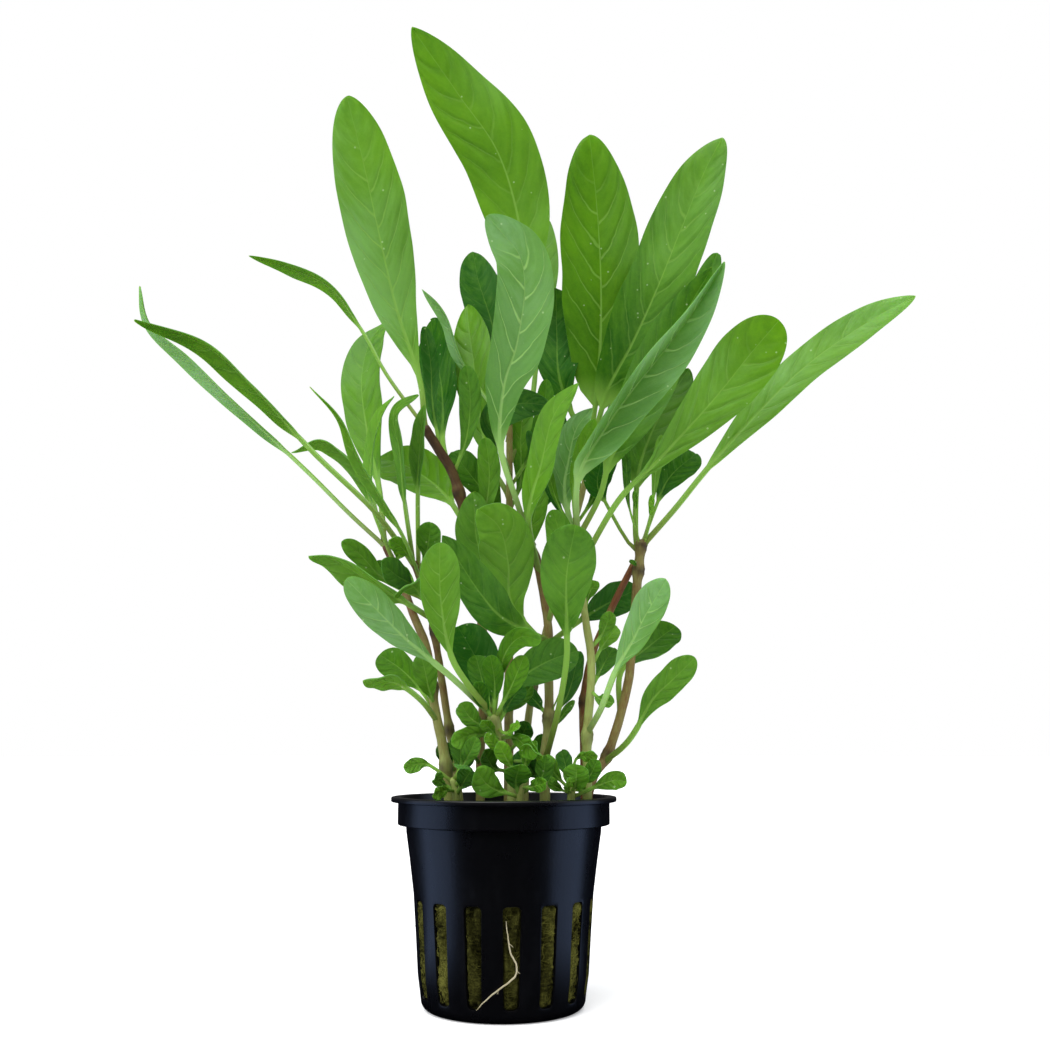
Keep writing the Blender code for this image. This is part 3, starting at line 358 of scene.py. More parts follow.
# Smaller growth that fills the bunch: leaves behind the large ones, young ones at the nodes and round the foot
YOUNG_LEAVES = [
    Small("tall_back_stem", 8, 0.15, 0, "deep", [(0, 10, 121), (-4, 7, 125), (-9, 7, 131), (-14, 9, 138)]),
    Small("tall_back_stem", 6.5, 0.15, 0, "plain", [(4, 11, 121), (4, 13, 131), (4, 14, 143), (5, 15, 155)]),
    Small("front_stem", 2.2, 0.3, 0, "plain", [(15, -11, 115), (13, -13, 120), (11, -13, 127), (9, -12, 132)]),
    Small("front_stem", 4, 0.2, 0, "dark", [(14, -9, 115), (12, -4, 125), (11, -2, 136), (12, -1, 147)]),
    Small("front_stem", 4, 0.3, 0, "bright", [(16, -11, 115), (17, -14, 123), (19, -17, 132), (22, -20, 139)]),
    Small("right_stem", 2.4, 0.3, 0, "deep", [(33, 0, 111), (32, 4, 123), (32, 8, 133), (32, 11, 142)]),
    Small("right_stem", 3, 0.4, 0, "bright", [(35, 0, 111), (38, 5, 121), (40, 10, 133), (42, 14, 144)]),
    Small("right_back_stem", 8, 0.1, 0, "deep", [(37, 17, 143), (47, 26, 172), (56, 33, 190), (63, 39, 207)]),
    Small("low_shoot", 3.8, 0.35, 0, "plain", [(-3, -9, 63), (-6, -11, 67), (-11, -14, 70)]),
    Small("left_runner", 5, 0.3, 0, "dark", [(-7, -13, 54), (-9, -10, 58), (-12, -8, 60)]),
    Small("left_runner", 4.5, 0.3, 0, "deep", [(-6, -14, 53), (-8, -19, 56), (-11, -22, 57)]),
    Small("low_shoot", 3, 0.3, 0, "bright", [(-1, -10, 62), (-3, -14, 65), (-5, -17, 67)]),
    Small("low_shoot", 5, 0.35, 0, "plain", [(-1, -10, 63), (3, -17, 63), (8, -22, 59)]),
    Small("front_runner", 4.5, 0.3, 0, "dark", [(4, -14, 52), (4, -11, 56), (5, -9, 60)]),
    Small("centre_stem", 4, 0.3, 0, "dark", [(10, 0, 54), (9, 5, 58), (9, 8, 64)]),
    Small("right_runner", 2.5, 0.3, 0, "plain", [(14, -14, 50), (12, -16, 52), (11, -17, 54)]),
    Small("right_runner", 2.5, 0.3, 0, "bright", [(15, -14, 50), (15, -17, 52), (16, -18, 54)]),
    Small("front_stem", 4, 0.15, 0, "brightest", [(19, -9, 50), (18, -12, 52), (16, -14, 55)]),
    Small("low_shoot", 6, 0.2, 0, "deep", [(-3, -11, 69), (-5, -8, 76), (-7, -5, 83)]),
    Small("centre_stem", 4.5, 0.25, 0, "dark", [(12, -1, 67), (16, 4, 74), (19, 7, 85)]),
    Small("centre_stem", 4, 0.3, 0, "dark", [(10, -1, 68), (8, 6, 72), (4, 10, 76)]),
    Small("brown_stem", 4, 0.3, 0, "deep", [(0, 6, 67), (3, 2, 72), (7, 0, 76)]),
    Small("centre_stem", 2, 0.4, 0, "plain", [(12, -3, 61), (14, -6, 68), (17, -8, 72)]),
    Small("front_stem", 3, 0.3, 0, "plain", [(19, -11, 93), (21, -9, 98), (23, -8, 101)]),
    Small("left_inner_stem", 4, 0.3, 0, "brightest", [(-22, -2, 106), (-25, -8, 109), (-28, -11, 111)]),
    Small("left_inner_stem", 6.5, 0.3, 0, "deep", [(-20, -1, 100), (-25, -14, 101), (-29, -20, 104)]),
    Small("brown_stem", 4.5, 0.15, 0, "dark", [(-15, -2, 136), (-19, 2, 149), (-20, 6, 161), (-22, 9, 173)]),
    Small("front_stem", 4, 0.20, 0, "dark", [(16, -9, 113), (13, -3, 122), (9, 0, 133), (6, 2, 142)]),
    Small("tall_back_stem", 5, 0.20, 0, "deep", [(2, 10, 128), (7, 8, 138), (10, 8, 148), (11, 9, 158)]),
    Small("right_back_stem", 6, 0.20, 0, "deep", [(23, 16, 134), (28, 19, 146), (32, 22, 156), (38, 26, 166)]),
    Small("right_back_stem", 6, 0.20, 0, "dark", [(21, 16, 128), (17, 20, 140), (14, 24, 150), (12, 28, 158)]),
    Small("right_stem", 1.6, 0.6, 0, "brightest", [(35, -1, 109), (36.5, -2, 115), (37.5, -2, 124)]),
    Small("right_stem", 1.4, 0.7, 0, "plain", [(34, -1, 108), (33.6, -2, 116), (33, -2, 125)]),
    Small("right_stem", 1.2, 0.3, 0, "deep", [(34, -1, 105), (32.6, -2, 106.5), (31.4, -2, 107)]),
    Small("left_stem", 4.5, 0.2, 0, "brightest", [(-29, 2, 106), (-27, 1, 109), (-26, -1, 112)]),
    Small("left_stem", 4, 0.2, 0, "deep", [(-28, 2, 104), (-31, 1, 105), (-33, 0, 107)]),
    Small("low_shoot", 4, 0.3, 0, "deep", [(-2, -11, 66), (-5, -15, 72), (-6, -18, 76)]),
    Small("low_shoot", 4.5, 0.3, 0, "dark", [(-1, -11, 66), (2, -12, 72), (5, -12, 75)]),
    Small("low_shoot", 3.5, 0.45, 0, "bright", [(-2, -11, 65), (1, -16, 64), (4, -20, 66)]),
    Small("low_shoot", 3, 0.5, 0, "brightest", [(1, -10, 58), (-1, -16, 60), (-4, -20, 64)]),
    Small("low_shoot", 3.5, 0.4, 0, "plain", [(1, -10, 57), (5, -14, 58), (8, -17, 62)]),
    Small("left_runner", 4, 0.3, 0, "plain", [(-12, -13, 53), (-8, -17, 59), (-6, -19, 63)]),
    Small("left_runner", 3.5, 0.35, 0, "bright", [(-11, -12, 51), (-13, -16, 51), (-16, -19, 50)]),
    Small("front_runner", 4, 0.35, 0, "bright", [(4, -16, 53), (1, -19, 58), (-1, -22, 62)]),
    Small("front_runner", 3.5, 0.3, 0, "plain", [(4, -16, 52), (7, -20, 52), (10, -23, 53)]),
    Small("right_runner", 4, 0.3, 0, "deep", [(17, -13, 51), (20, -16, 54), (22, -18, 58)]),
    Small("right_runner", 3.5, 0.3, 0, "plain", [(15, -13, 51), (12, -15, 55), (10, -16, 59)]),
    Small("right_runner", 4, 0.3, 0, "dark", [(16, -11, 52), (15, -8, 56), (14, -5, 60)]),
    Small("tall_back_stem", 5, 0.3, 0, "dark", [(1, 8, 60), (4, 5, 63), (6, 3, 67)]),
    Small("tall_back_stem", 5, 0.3, 0, "deep", [(1, 8, 54), (-3, 4, 56), (-5, 1, 60)]),
    Small("brown_stem", 5, 0.3, 0, "dark", [(-6, 6, 56), (-8, 2, 60), (-9, 0, 65)]),
    Small("left_inner_stem", 5, 0.3, 0, "dark", [(-12, 5, 54), (-14, 1, 58), (-15, -2, 62)]),
    Small("centre_stem", 4.5, 0.25, 0, "dark", [(10, -2, 52), (7, -6, 55), (5, -8, 59)]),
    Small("centre_stem", 1.8, 0.6, 0, "brightest", [(11, -3, 68), (14, -6, 75), (15, -8, 82)]),
    Small("front_stem", 4, 0.3, 0, "bright", [(21, -9, 84), (24, -10, 88), (26, -12, 93)]),
    Small("tall_back_stem", 6, 0.15, 0, "plain", [(1, 10, 108), (-3, 6, 116), (-4, 4, 124), (-4, 3, 132)]),
    Small("tall_back_stem", 6, 0.15, 0, "bright", [(1, 10, 104), (5, 4, 112), (8, 1, 121), (9, 0, 130)]),
    Small("tall_back_stem", 5, 0.2, 0, "dark", [(1, 10, 112), (6, 8, 120), (12, 7, 128), (14, 7, 138)]),
    Small("right_back_stem", 6, 0.2, 0, "deep", [(18, 15, 118), (24, 10, 127), (27, 8, 136), (28, 6, 147)]),
    Small("right_back_stem", 5, 0.2, 0, "plain", [(21, 16, 131), (28, 13, 141), (33, 10, 150), (37, 8, 160)]),
    Small("brown_stem", 6, 0.2, 0, "plain", [(-9, 3, 112), (-5, 0, 121), (-4, -1, 130), (-5, -2, 139)]),
    Small("brown_stem", 6, 0.15, 0, "deep", [(-14, 1, 130), (-10, -1, 139), (-9, -2, 149), (-10, -3, 158)]),
]


def length_setting(name, description, default):
    return FloatProperty(name=name, description=description, default=default, min=0.0, precision=5, unit="LENGTH")


def colour_setting(name, description, default):
    return FloatVectorProperty(name=name, description=description, default=default, min=0.0, max=1.0, size=3,
                               subtype="COLOR")


class LeafSettings(bpy.types.PropertyGroup):
    """Sizes and colours of the leaves"""

    thickness: length_setting("Thickness", "Thickness of a blade between its veins", 0.0003)
    quilting: length_setting("Quilting", "How far a broad blade swells between its side veins", 0.00032)
    edge_wave: length_setting("Edge wave", "How far the margins of a broad blade wave", 0.0006)
    vein_pairs: IntProperty(name="Vein pairs", description="Pairs of side veins on a large leaf", default=8, min=2)
    deep_colour: colour_setting("Deep colour", "Upper side of a shaded leaf", (0.006, 0.062, 0.0015))
    bright_colour: colour_setting("Bright colour", "Upper side of a well lit leaf", (0.105, 0.27, 0.003))
    under_deep_colour: colour_setting("Under deep colour", "Under side of a shaded leaf", (0.025, 0.115, 0.010))
    under_bright_colour: colour_setting("Under bright colour", "Under side of a well lit leaf", (0.13, 0.31, 0.045))
    # Painted sheen: pale patches on the upper and under sides of the lighter leaves
    wax_colour: colour_setting("Wax colour", "Pale bloom on the lighter leaves", (0.18, 0.37, 0.11))
    under_painted_sheen_colour: colour_setting("Under painted sheen colour", "Grey bloom on the under side", (0.19, 0.36, 0.15))
    vein_colour: colour_setting("Vein colour", "Side veins and petioles", (0.20, 0.38, 0.06))
    under_vein_colour: colour_setting("Under vein colour", "Raised veins of the under side", (0.30, 0.50, 0.15))
    stalk_colour: colour_setting("Stalk colour", "Petioles near the stem", (0.15, 0.15, 0.035))


class StemSettings(bpy.types.PropertyGroup):
    """Colours of the stems"""

    green_colour: colour_setting("Green colour", "Young part of a stem", (0.27, 0.34, 0.085))
    brown_colour: colour_setting("Brown colour", "Old part of a stem", (0.16, 0.052, 0.016))
    # The node colour also darkens the upper part of some stems
    node_colour: colour_setting("Node colour", "Scars at the nodes", (0.035, 0.022, 0.008))


class PotSettings(bpy.types.PropertyGroup):
    """The net pot"""

    plastic_colour: colour_setting("Plastic colour", "Moulded plastic of the pot", (0.0012, 0.0012, 0.002))
    edge_radius: length_setting("Slot edge", "Rounding of the slots' edges", 0.00014)


class WoolSettings(bpy.types.PropertyGroup):
    """The rock wool"""

    light_colour: colour_setting("Light colour", "Clean fibres", (0.135, 0.135, 0.028))
    # The dark colour is used for the stains and for painted shade near the middle of the pot's front and back
    dark_colour: colour_setting("Dark colour", "Stained fibres", (0.006, 0.006, 0.001))
    bulge: length_setting("Bulge", "How far the wool stands out between the pot's bars", 0.0011)
    fibres: IntProperty(name="Fibres", description="Loose fibres in each slot", default=90, min=0)
    root_colour: colour_setting("Root colour", "The root over a slot", (0.68, 0.66, 0.55))


class StageSettings(bpy.types.PropertyGroup):
    """Floor, light and camera"""

    camera_distance: length_setting("Camera distance", "From the pot's axis to the camera", 0.3)
    camera_height: length_setting("Camera height", "Above the floor", 0.0615)
    camera_tilt: FloatProperty(name="Camera tilt", description="How far the camera looks up",
                               default=math.radians(10.4), subtype="ANGLE")
    floor_colour: colour_setting("Floor colour", "The floor under the pot", (0.95, 0.95, 0.95))
    light_power: FloatProperty(name="Light power", description="Power of the main light in watts", default=2.5)
    sun_strength: FloatProperty(name="Sun strength", description="Strength of the even soft light", default=3.3)


def smooth_route(points):
    """Read a smooth curve through the given points, and its running length."""
    knots = [Vector(p) for p in points]
    ends = [2 * knots[0] - knots[1]] + knots + [2 * knots[-1] - knots[-2]]
    fine = []
    for a, b, c, d in zip(ends, ends[1:], ends[2:], ends[3:]):
        for step in range(12):
            t = step / 12
            fine.append(0.5 * (2 * b + (c - a) * t + (2 * a - 5 * b + 4 * c - d) * t ** 2
                               + (3 * b - a - 3 * c + d) * t ** 3))
    fine.append(knots[-1])
    run = [0.0]
    for a, b in zip(fine, fine[1:]):
        run.append(run[-1] + (b - a).length)
    return fine, run


def along(route, share):
    """The point at a share of a route's length."""
    fine, run = route
    target = min(max(share, 0.0), 1.0) * run[-1]
    i = max(k for k in range(len(run) - 1) if run[k] <= target + 1e-9)
    span = max(run[i + 1] - run[i], 1e-9)
    return fine[i].lerp(fine[i + 1], min((target - run[i]) / span, 1.0))


def nearest_on(points, target):
    """The one of some points nearest to another point."""
    return min(points, key=lambda p: (p - Vector(target)).length)


def clear_start(route, stem_points, stem):
    """The share of a leaf's route at which its petiole is clear of its stem."""
    clearance = max(stem.foot, stem.top) * (1 + NODE_SWELL) + GAP + CLEAR_RADIUS
    share = 0.0
    while (along(route, share) - nearest_on(stem_points, along(route, share))).length < clearance:
        share += 0.005
    return share


def spine_frames(route, turn):
    """Points along a route, each with the direction across a leaf and the direction that its front faces."""
    shares = [i / SPINE_STEPS for i in range(SPINE_STEPS + 1)]
    spine = [along(route, share) for share in shares]
    tangents = [(along(route, share + 0.02) - along(route, share - 0.02)).normalized() for share in shares]
    frames = []
    side = tangents[0].cross(Vector((0, -1, 0))).normalized()
    for i, share in enumerate(shares):
        if i:
            side = tangents[i - 1].rotation_difference(tangents[i]) @ side
        angle = math.radians(turn[0] + (turn[1] - turn[0]) * share)
        turned = Matrix.Rotation(-angle, 3, tangents[i]) @ side
        frames.append((spine[i], turned, turned.cross(tangents[i]).normalized()))
    return frames


def frame_at(frames, share):
    """The point, side and front of a spine at a share of its length."""
    place = min(max(share, 0.0), 1.0) * SPINE_STEPS
    i = min(int(place), SPINE_STEPS - 1)
    rest = place - i
    return tuple(a.lerp(b, rest) for a, b in zip(frames[i], frames[i + 1]))


def smoothstep(low, high, value):
    """0 below low, 1 above high, and a smooth rise between."""
    t = min(max((value - low) / (high - low), 0.0), 1.0)
    return t * t * (3 - 2 * t)


def seed_of(name):
    """A number that stays the same for a name."""
    return sum(ord(letter) * (i + 1) for i, letter in enumerate(name))


Blade = namedtuple("Blade", "start width outline radius fold length veins rows columns quilt wave thickness shift shade")


def half_width(blade, place):
    """Half a blade's width at a place from 0 at its petiole to 1 at its tip."""
    rise, close = OUTLINES[blade.outline]
    widest = rise / (rise + close)
    peak = widest ** rise * (1 - widest) ** close
    free = blade.width / 2 * place ** rise * max(1 - place, 0.0) ** close / peak
    return max(free, blade.radius * (1 - place) ** 1.5)


def leaned(blade, row, across):
    """Where a row of a blade reaches away from the midrib. Rows run forward to the margin as side veins do."""
    lean = min(MOST_LEAN, VEIN_LEAN * blade.width / (blade.length * (1 - blade.start)))
    return row + lean * (1 - row ** 3.2) * (1 - math.exp(-8 * row)) * abs(across) ** 1.35


def rib_share(place):
    """How thick the midrib is at a place of the blade, as a share of the petiole."""
    return 1.0 if place < 0 else 0.15 + 0.85 * (1 - place) ** 2.2


def vein_phase(blade, row, across):
    """How many side veins lie below a row. The veins of one half lie between those of the other."""
    return row * blade.veins + (0.35 if across > 0 else 0.0)


def leaf_point(blade, frames, row, across, below):
    """A point of a leaf's skin. A row under 0 is on the petiole, and rows from 0 to 1 are on the blade."""
    if row < 0:
        place = row
        share = blade.start * (1 + row)
        half = blade.radius * (1 + 0.5 * math.exp(-share * 60))
        body = 0.0
    else:
        place = leaned(blade, row, across)
        share = blade.start + (1 - blade.start) * place
        half = half_width(blade, place) * (1 + 0.05 * noise.noise(Vector((place * 7, across, blade.shift * 31))))
        body = smoothstep(0.0, 0.16, place)
    spine, side, front = frame_at(frames, share)
    out = half * across
    rib = blade.radius * rib_share(place)
    ridge = math.sqrt(max(0.0, 1 - (out / rib) ** 2))
    thick = blade.thickness * (1 - 0.5 * max(place, 0.0) ** 8)
    if below:
        lift = -thick / 2 - 0.8 * rib * ridge * (1 - 0.3 * body)
    else:
        lift = thick / 2 + rib * ridge * (0.45 * (1 - body) - 0.28 * body)
    if place > 0:
        phase = vein_phase(blade, row, across)
        near = abs(phase - round(phase))
        spread = smoothstep(0.04, 0.35, abs(across)) * (1 - smoothstep(0.75, 1.0, abs(across)))
        swell = 1 - math.exp(-(near / 0.17) ** 2)
        lift += blade.quilt * body * spread * (swell - 0.5) * smoothstep(0.0, 0.15, 1 - place)
        roll = math.sin(math.tau * (place * 2.2 + blade.shift + (0.37 if across > 0 else 0.0)))
        lift += blade.wave * body * across * across * roll
        lift += blade.wave * body * noise.noise(Vector((place * 3.0, across * 1.3, blade.shift * 9)))
    bend = blade.fold * (0.0 if place < 0 else body)
    out_flat = out * math.cos(bend)
    lift += abs(out) * math.sin(bend)
    return spine + side * out_flat + front * lift


def row_places(blade):
    """Places of the rows of a leaf's skin: under 0 on the petiole, and from 0 to 1 on the blade."""
    petiole_rows = max(3, round(PETIOLE_ROWS * blade.rows / BLADE_ROWS))
    places = [i / petiole_rows - 1 for i in range(petiole_rows)]
    for i in range(blade.rows + 1):
        even = i / blade.rows
        places.append(0.6 * even + 0.4 * math.sin(even * math.pi / 2))
    return places


def grow_leaf(work, blade, frames, look, tone, veined=PLAIN_VEINS):
    """Add a leaf to a bmesh as one closed skin: a grid wrapped round it, with its margins, rib and petiole."""
    places = row_places(blade)
    half = blade.columns
    across = [math.copysign(abs(k / half) ** 1.5, k) for k in range(-half, half + 1)]
    ring = [(t, False) for t in across] + [(t, True) for t in reversed(across)]
    tip = len(places) - 1
    shade = work.verts.layers.float.get("tone") or work.verts.layers.float.new("tone")
    shown = work.verts.layers.float.get("veined") or work.verts.layers.float.new("veined")
    wax = work.verts.layers.float.get("wax") or work.verts.layers.float.new("wax")
    veins = work.loops.layers.uv.get("veins") or work.loops.layers.uv.new("veins")
    ribs = work.loops.layers.uv.get("ribs") or work.loops.layers.uv.new("ribs")
    made = bmesh.ops.create_grid(work, x_segments=tip, y_segments=len(ring), size=1.0)["verts"]
    faces = {face for vert in made for face in vert.link_faces}
    for face in faces:
        column = (face.calc_center_median().y + 1) / 2 * len(ring)
        in_front = column < len(across) - 1
        face.material_index = 0 if in_front == LOOKS[look][1] else 1
    mapped = {}
    for vert in made:
        row = round((vert.co.x + 1) / 2 * tip)
        t, below = ring[round((vert.co.y + 1) / 2 * len(ring)) % len(ring)]
        place = places[row]
        vert.co = leaf_point(blade, frames, place, 0.0 if row == tip else t, below and row < tip) * MM
        lit = max(place, 0.0)
        edge = blade.shade.left if t < 0 else blade.shade.right
        # Painted light and shade: the leaf's tone, changed from petiole to tip
        vert[shade] = tone + blade.shade.foot_tone + (blade.shade.tip_tone - blade.shade.foot_tone) * lit
        # Pale patches of painted sheen along and across the blade
        vert[wax] = blade.shade.foot_wax + (blade.shade.tip_wax - blade.shade.foot_wax) * lit
        vert[wax] *= blade.shade.middle + (edge - blade.shade.middle) * abs(t)
        vert[shown] = veined
        reach = leaned(blade, place, t) if place > 0 else place
        half_here = half_width(blade, reach) if place > 0 else blade.radius
        phase = vein_phase(blade, max(place, 0.0), t)
        mapped[vert] = ((t, phase), (half_here * t / (blade.radius * rib_share(reach)), reach))
    for face in faces:
        for loop in face.loops:
            loop[veins].uv, loop[ribs].uv = mapped[loop.vert]
    bmesh.ops.remove_doubles(work, verts=made, dist=0.000004)
    edges = {edge for vert in made if vert.is_valid for edge in vert.link_edges if edge.is_boundary}
    bmesh.ops.holes_fill(work, edges=list(edges), sides=0)
    bmesh.ops.recalc_face_normals(work, faces=[face for face in work.faces if face.is_valid])


def grow_small(work, small, stem_points, settings, seed):
    """Add a small leaf to a bmesh, from its foot in its stem."""
    route = smooth_route([nearest_on(stem_points, small.route[0])] + small.route[1:])
    rng = random.Random(seed)
    side = 1 if LOOKS[small.look][1] else -1
    blade = Blade(
        small.petiole, small.width, "spoon", min(SMALL_PETIOLE_RADIUS, small.width / 9), math.radians(12),
        route[1][-1], 5.5, SMALL_ROWS, SMALL_COLUMNS, side * settings.quilting / MM * 0.5,
        settings.edge_wave / MM * 0.5, settings.thickness / MM * 0.85, rng.random(), PLAIN_SHADE)
    tone = LOOKS[small.look][0] + rng.uniform(-0.1, 0.1)
    grow_leaf(work, blade, spine_frames(route, (small.turn, small.turn)), small.look, tone)


def add_piece(work, name, finishes, nodes, sharp=50):
    """Make a piece from a finished bmesh, with its finishes, its place in the frame and the solids it stands for."""
    mesh = bpy.data.meshes.new(name)
    work.to_mesh(mesh)
    work.free()
    for finish in finishes:
        mesh.materials.append(finish)
    mesh.shade_smooth()
    mesh.set_sharp_from_angle(angle=math.radians(sharp))
    piece = bpy.data.objects.new(name, mesh)
    bpy.context.scene.collection.objects.link(piece)
    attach(piece, "root")
    if nodes:
        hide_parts(*nodes)
    return piece


def group_tree(name, inputs, outputs):
    """Start a shader node group with colour and number sockets. Gives the tree and its two end nodes."""
    tree = bpy.data.node_groups.new(name, "ShaderNodeTree")
    for label, kind in inputs:
        tree.interface.new_socket(name=label, in_out="INPUT", socket_type=kind)
    for label, kind in outputs:
        tree.interface.new_socket(name=label, in_out="OUTPUT", socket_type=kind)
    return tree, tree.nodes.new("NodeGroupInput"), tree.nodes.new("NodeGroupOutput")


def add_node(tree, kind, values=(), **settings):
    """Add a shader node, set its settings, and feed its sockets with values or links by name or number."""
    made = tree.nodes.new(kind)
    for label, value in settings.items():
        setattr(made, label, value)
    for socket, value in dict(values).items():
        if isinstance(value, bpy.types.NodeSocket):
            tree.links.new(value, made.inputs[socket])
        else:
            made.inputs[socket].default_value = value
    return made


def blend_colour(tree, share, first, second, mode="MIX"):
    """Mix two colours by a share. Gives the colour socket."""
    mixed = add_node(tree, "ShaderNodeMix", {0: share, 6: first, 7: second}, data_type="RGBA", blend_type=mode)
    return mixed.outputs[2]


def do_math(tree, operation, first, second=0.0, clamp=False):
    """One sum. Gives the value socket."""
    done = add_node(tree, "ShaderNodeMath", {0: first, 1: second}, operation=operation, use_clamp=clamp)
    return done.outputs[0]


def remap(tree, value, low, high, to_low=0.0, to_high=1.0):
    """A smooth step from one value to another. Gives the value socket."""
    done = add_node(tree, "ShaderNodeMapRange", {0: value, 1: low, 2: high, 3: to_low, 4: to_high},
                    interpolation_type="SMOOTHSTEP")
    return done.outputs[0]


def noise_mask(tree, vector, scale, detail=3.0, roughness=0.55):
    """Soft noise at a scale. Gives the value socket."""
    done = add_node(tree, "ShaderNodeTexNoise", {"Vector": vector, "Scale": scale, "Detail": detail,
                                                 "Roughness": roughness})
    return done.outputs[0]


def leaf_group():
    """The pattern of a leaf: midrib, side veins, net of fine veins, mottling, pale specks, painted light and shade and
    painted sheen.
    """
    tree, given, made = group_tree(
        "leaf_pattern",
        [("Deep Colour", "NodeSocketColor"), ("Bright Colour", "NodeSocketColor"), ("Wax Colour", "NodeSocketColor"),
         ("Vein Colour", "NodeSocketColor"), ("Stalk Colour", "NodeSocketColor"), ("Vein Strength", "NodeSocketFloat"),
         ("Vein Height", "NodeSocketFloat")],
        [("Colour", "NodeSocketColor"), ("Gloss", "NodeSocketFloat"), ("Height", "NodeSocketFloat"),
         ("Sheen", "NodeSocketFloat")])
    place = add_node(tree, "ShaderNodeTexCoord").outputs["Object"]
    veins = add_node(tree, "ShaderNodeUVMap", uv_map="veins").outputs[0]
    ribs = add_node(tree, "ShaderNodeUVMap", uv_map="ribs").outputs[0]
    tone = add_node(tree, "ShaderNodeAttribute", attribute_name="tone").outputs["Fac"]
    veined = add_node(tree, "ShaderNodeAttribute", attribute_name="veined").outputs["Fac"]
    painted_sheen_mask = add_node(tree, "ShaderNodeAttribute", attribute_name="wax").outputs["Fac"]
    across, phase, _ = add_node(tree, "ShaderNodeSeparateXYZ", {0: veins}).outputs
    rib_out, length, _ = add_node(tree, "ShaderNodeSeparateXYZ", {0: ribs}).outputs
    aside = do_math(tree, "ABSOLUTE", across)
    wander = do_math(tree, "MULTIPLY", noise_mask(tree, place, 120.0, 2.0), 0.5)
    whole = do_math(tree, "FRACT", do_math(tree, "ADD", do_math(tree, "ADD", phase, 0.25), wander))
    near = do_math(tree, "ABSOLUTE", do_math(tree, "SUBTRACT", whole, 0.5))
    vein_width = remap(tree, aside, 0.0, 1.0, 0.075, 0.03)
    vein = remap(tree, do_math(tree, "DIVIDE", near, vein_width), 0.3, 1.0, 1.0, 0.0)
    vein = do_math(tree, "MULTIPLY", vein, remap(tree, aside, 0.8, 0.98, 1.0, 0.0))
    vein = do_math(tree, "MULTIPLY", vein, remap(tree, length, 0.0, 0.05))
    vein = do_math(tree, "MULTIPLY", vein, remap(tree, length, 0.72, 0.92, 1.0, 0.0))
    halo = remap(tree, near, 0.02, 0.30, 1.0, 0.0)
    rib = remap(tree, do_math(tree, "ABSOLUTE", rib_out), 0.45, 1.15, 1.0, 0.0)
    stalk = remap(tree, length, 0.0, 0.12, 1.0, 0.0)
    net = add_node(tree, "ShaderNodeTexVoronoi", {"Vector": place, "Scale": 900.0}, feature="DISTANCE_TO_EDGE")
    fine = remap(tree, net.outputs["Distance"], 0.0, 0.12, 1.0, 0.0)
    lain = add_node(tree, "ShaderNodeCombineXYZ", {0: do_math(tree, "MULTIPLY", across, 1.6), 1: phase, 2: tone})
    ribbon = add_node(tree, "ShaderNodeMapping", {"Vector": lain.outputs[0], "Scale": (1.3, 2.6, 40.0)}).outputs[0]
    streak = noise_mask(tree, ribbon, 1.0, 4.0, 0.6)
    broad = noise_mask(tree, place, 55.0, 2.0)
    grain = noise_mask(tree, place, 650.0, 4.0)
    speck = add_node(tree, "ShaderNodeTexVoronoi", {"Vector": place, "Scale": 420.0})
    chosen = add_node(tree, "ShaderNodeSeparateColor", {0: speck.outputs["Color"]}).outputs[0]
    dots = do_math(tree, "MULTIPLY", remap(tree, speck.outputs["Distance"], 0.06, 0.14, 1.0, 0.0),
                   remap(tree, chosen, 0.72, 0.74))
    # Painted light and shade: the leaf's tone makes a well lit leaf lighter and a shaded one darker, and the noises add
    # real mottling
    lightness = do_math(tree, "ADD", tone, do_math(tree, "MULTIPLY", do_math(tree, "SUBTRACT", broad, 0.5), 0.7))
    lightness = do_math(tree, "ADD", lightness, do_math(tree, "MULTIPLY", do_math(tree, "SUBTRACT", grain, 0.5), 0.25))
    lightness = do_math(tree, "ADD", lightness, do_math(tree, "MULTIPLY", do_math(tree, "SUBTRACT", streak, 0.5), 0.45))
    lightness = do_math(tree, "SUBTRACT", lightness, do_math(tree, "MULTIPLY", halo, 0.08))
    lightness = do_math(tree, "ADD", lightness, do_math(tree, "MULTIPLY", fine, 0.06), clamp=True)
    colour = blend_colour(tree, lightness, given.outputs["Deep Colour"], given.outputs["Bright Colour"])
    # Pale patches of painted sheen, in noisy patches scaled by the leaf's own amount
    patch_mask = do_math(tree, "ADD", do_math(tree, "MULTIPLY", noise_mask(tree, place, 34.0, 1.0), 0.7),
                    do_math(tree, "MULTIPLY", streak, 0.3))
    painted_sheen_share = do_math(tree, "MULTIPLY", remap(tree, patch_mask, 0.40, 0.60, 0.25, 0.85), painted_sheen_mask)
    colour = blend_colour(tree, painted_sheen_share, colour, given.outputs["Wax Colour"])
    strength = do_math(tree, "MULTIPLY", given.outputs["Vein Strength"], remap(tree, tone, 0.0, 0.9, 0.3, 1.0))
    strength = do_math(tree, "MULTIPLY", strength, veined)
    colour = blend_colour(tree, do_math(tree, "MULTIPLY", vein, strength), colour, given.outputs["Vein Colour"])
    ribbed = do_math(tree, "MULTIPLY", rib, remap(tree, length, 0.0, 1.0, 0.65, 0.25))
    ribbed = do_math(tree, "MULTIPLY", ribbed, remap(tree, tone, 0.0, 0.6, 0.5, 1.0))
    ribbed = do_math(tree, "MAXIMUM", ribbed, do_math(tree, "MULTIPLY", stalk, 0.8))
    worn = do_math(tree, "ADD", remap(tree, length, -1.0, -0.15, 0.8, 0.0),
                   do_math(tree, "MULTIPLY", do_math(tree, "SUBTRACT", grain, 0.5), 0.5), clamp=True)
    stem_side = blend_colour(tree, do_math(tree, "MULTIPLY", worn, remap(tree, length, -0.2, 0.0, 1.0, 0.0)),
                             given.outputs["Vein Colour"], given.outputs["Stalk Colour"])
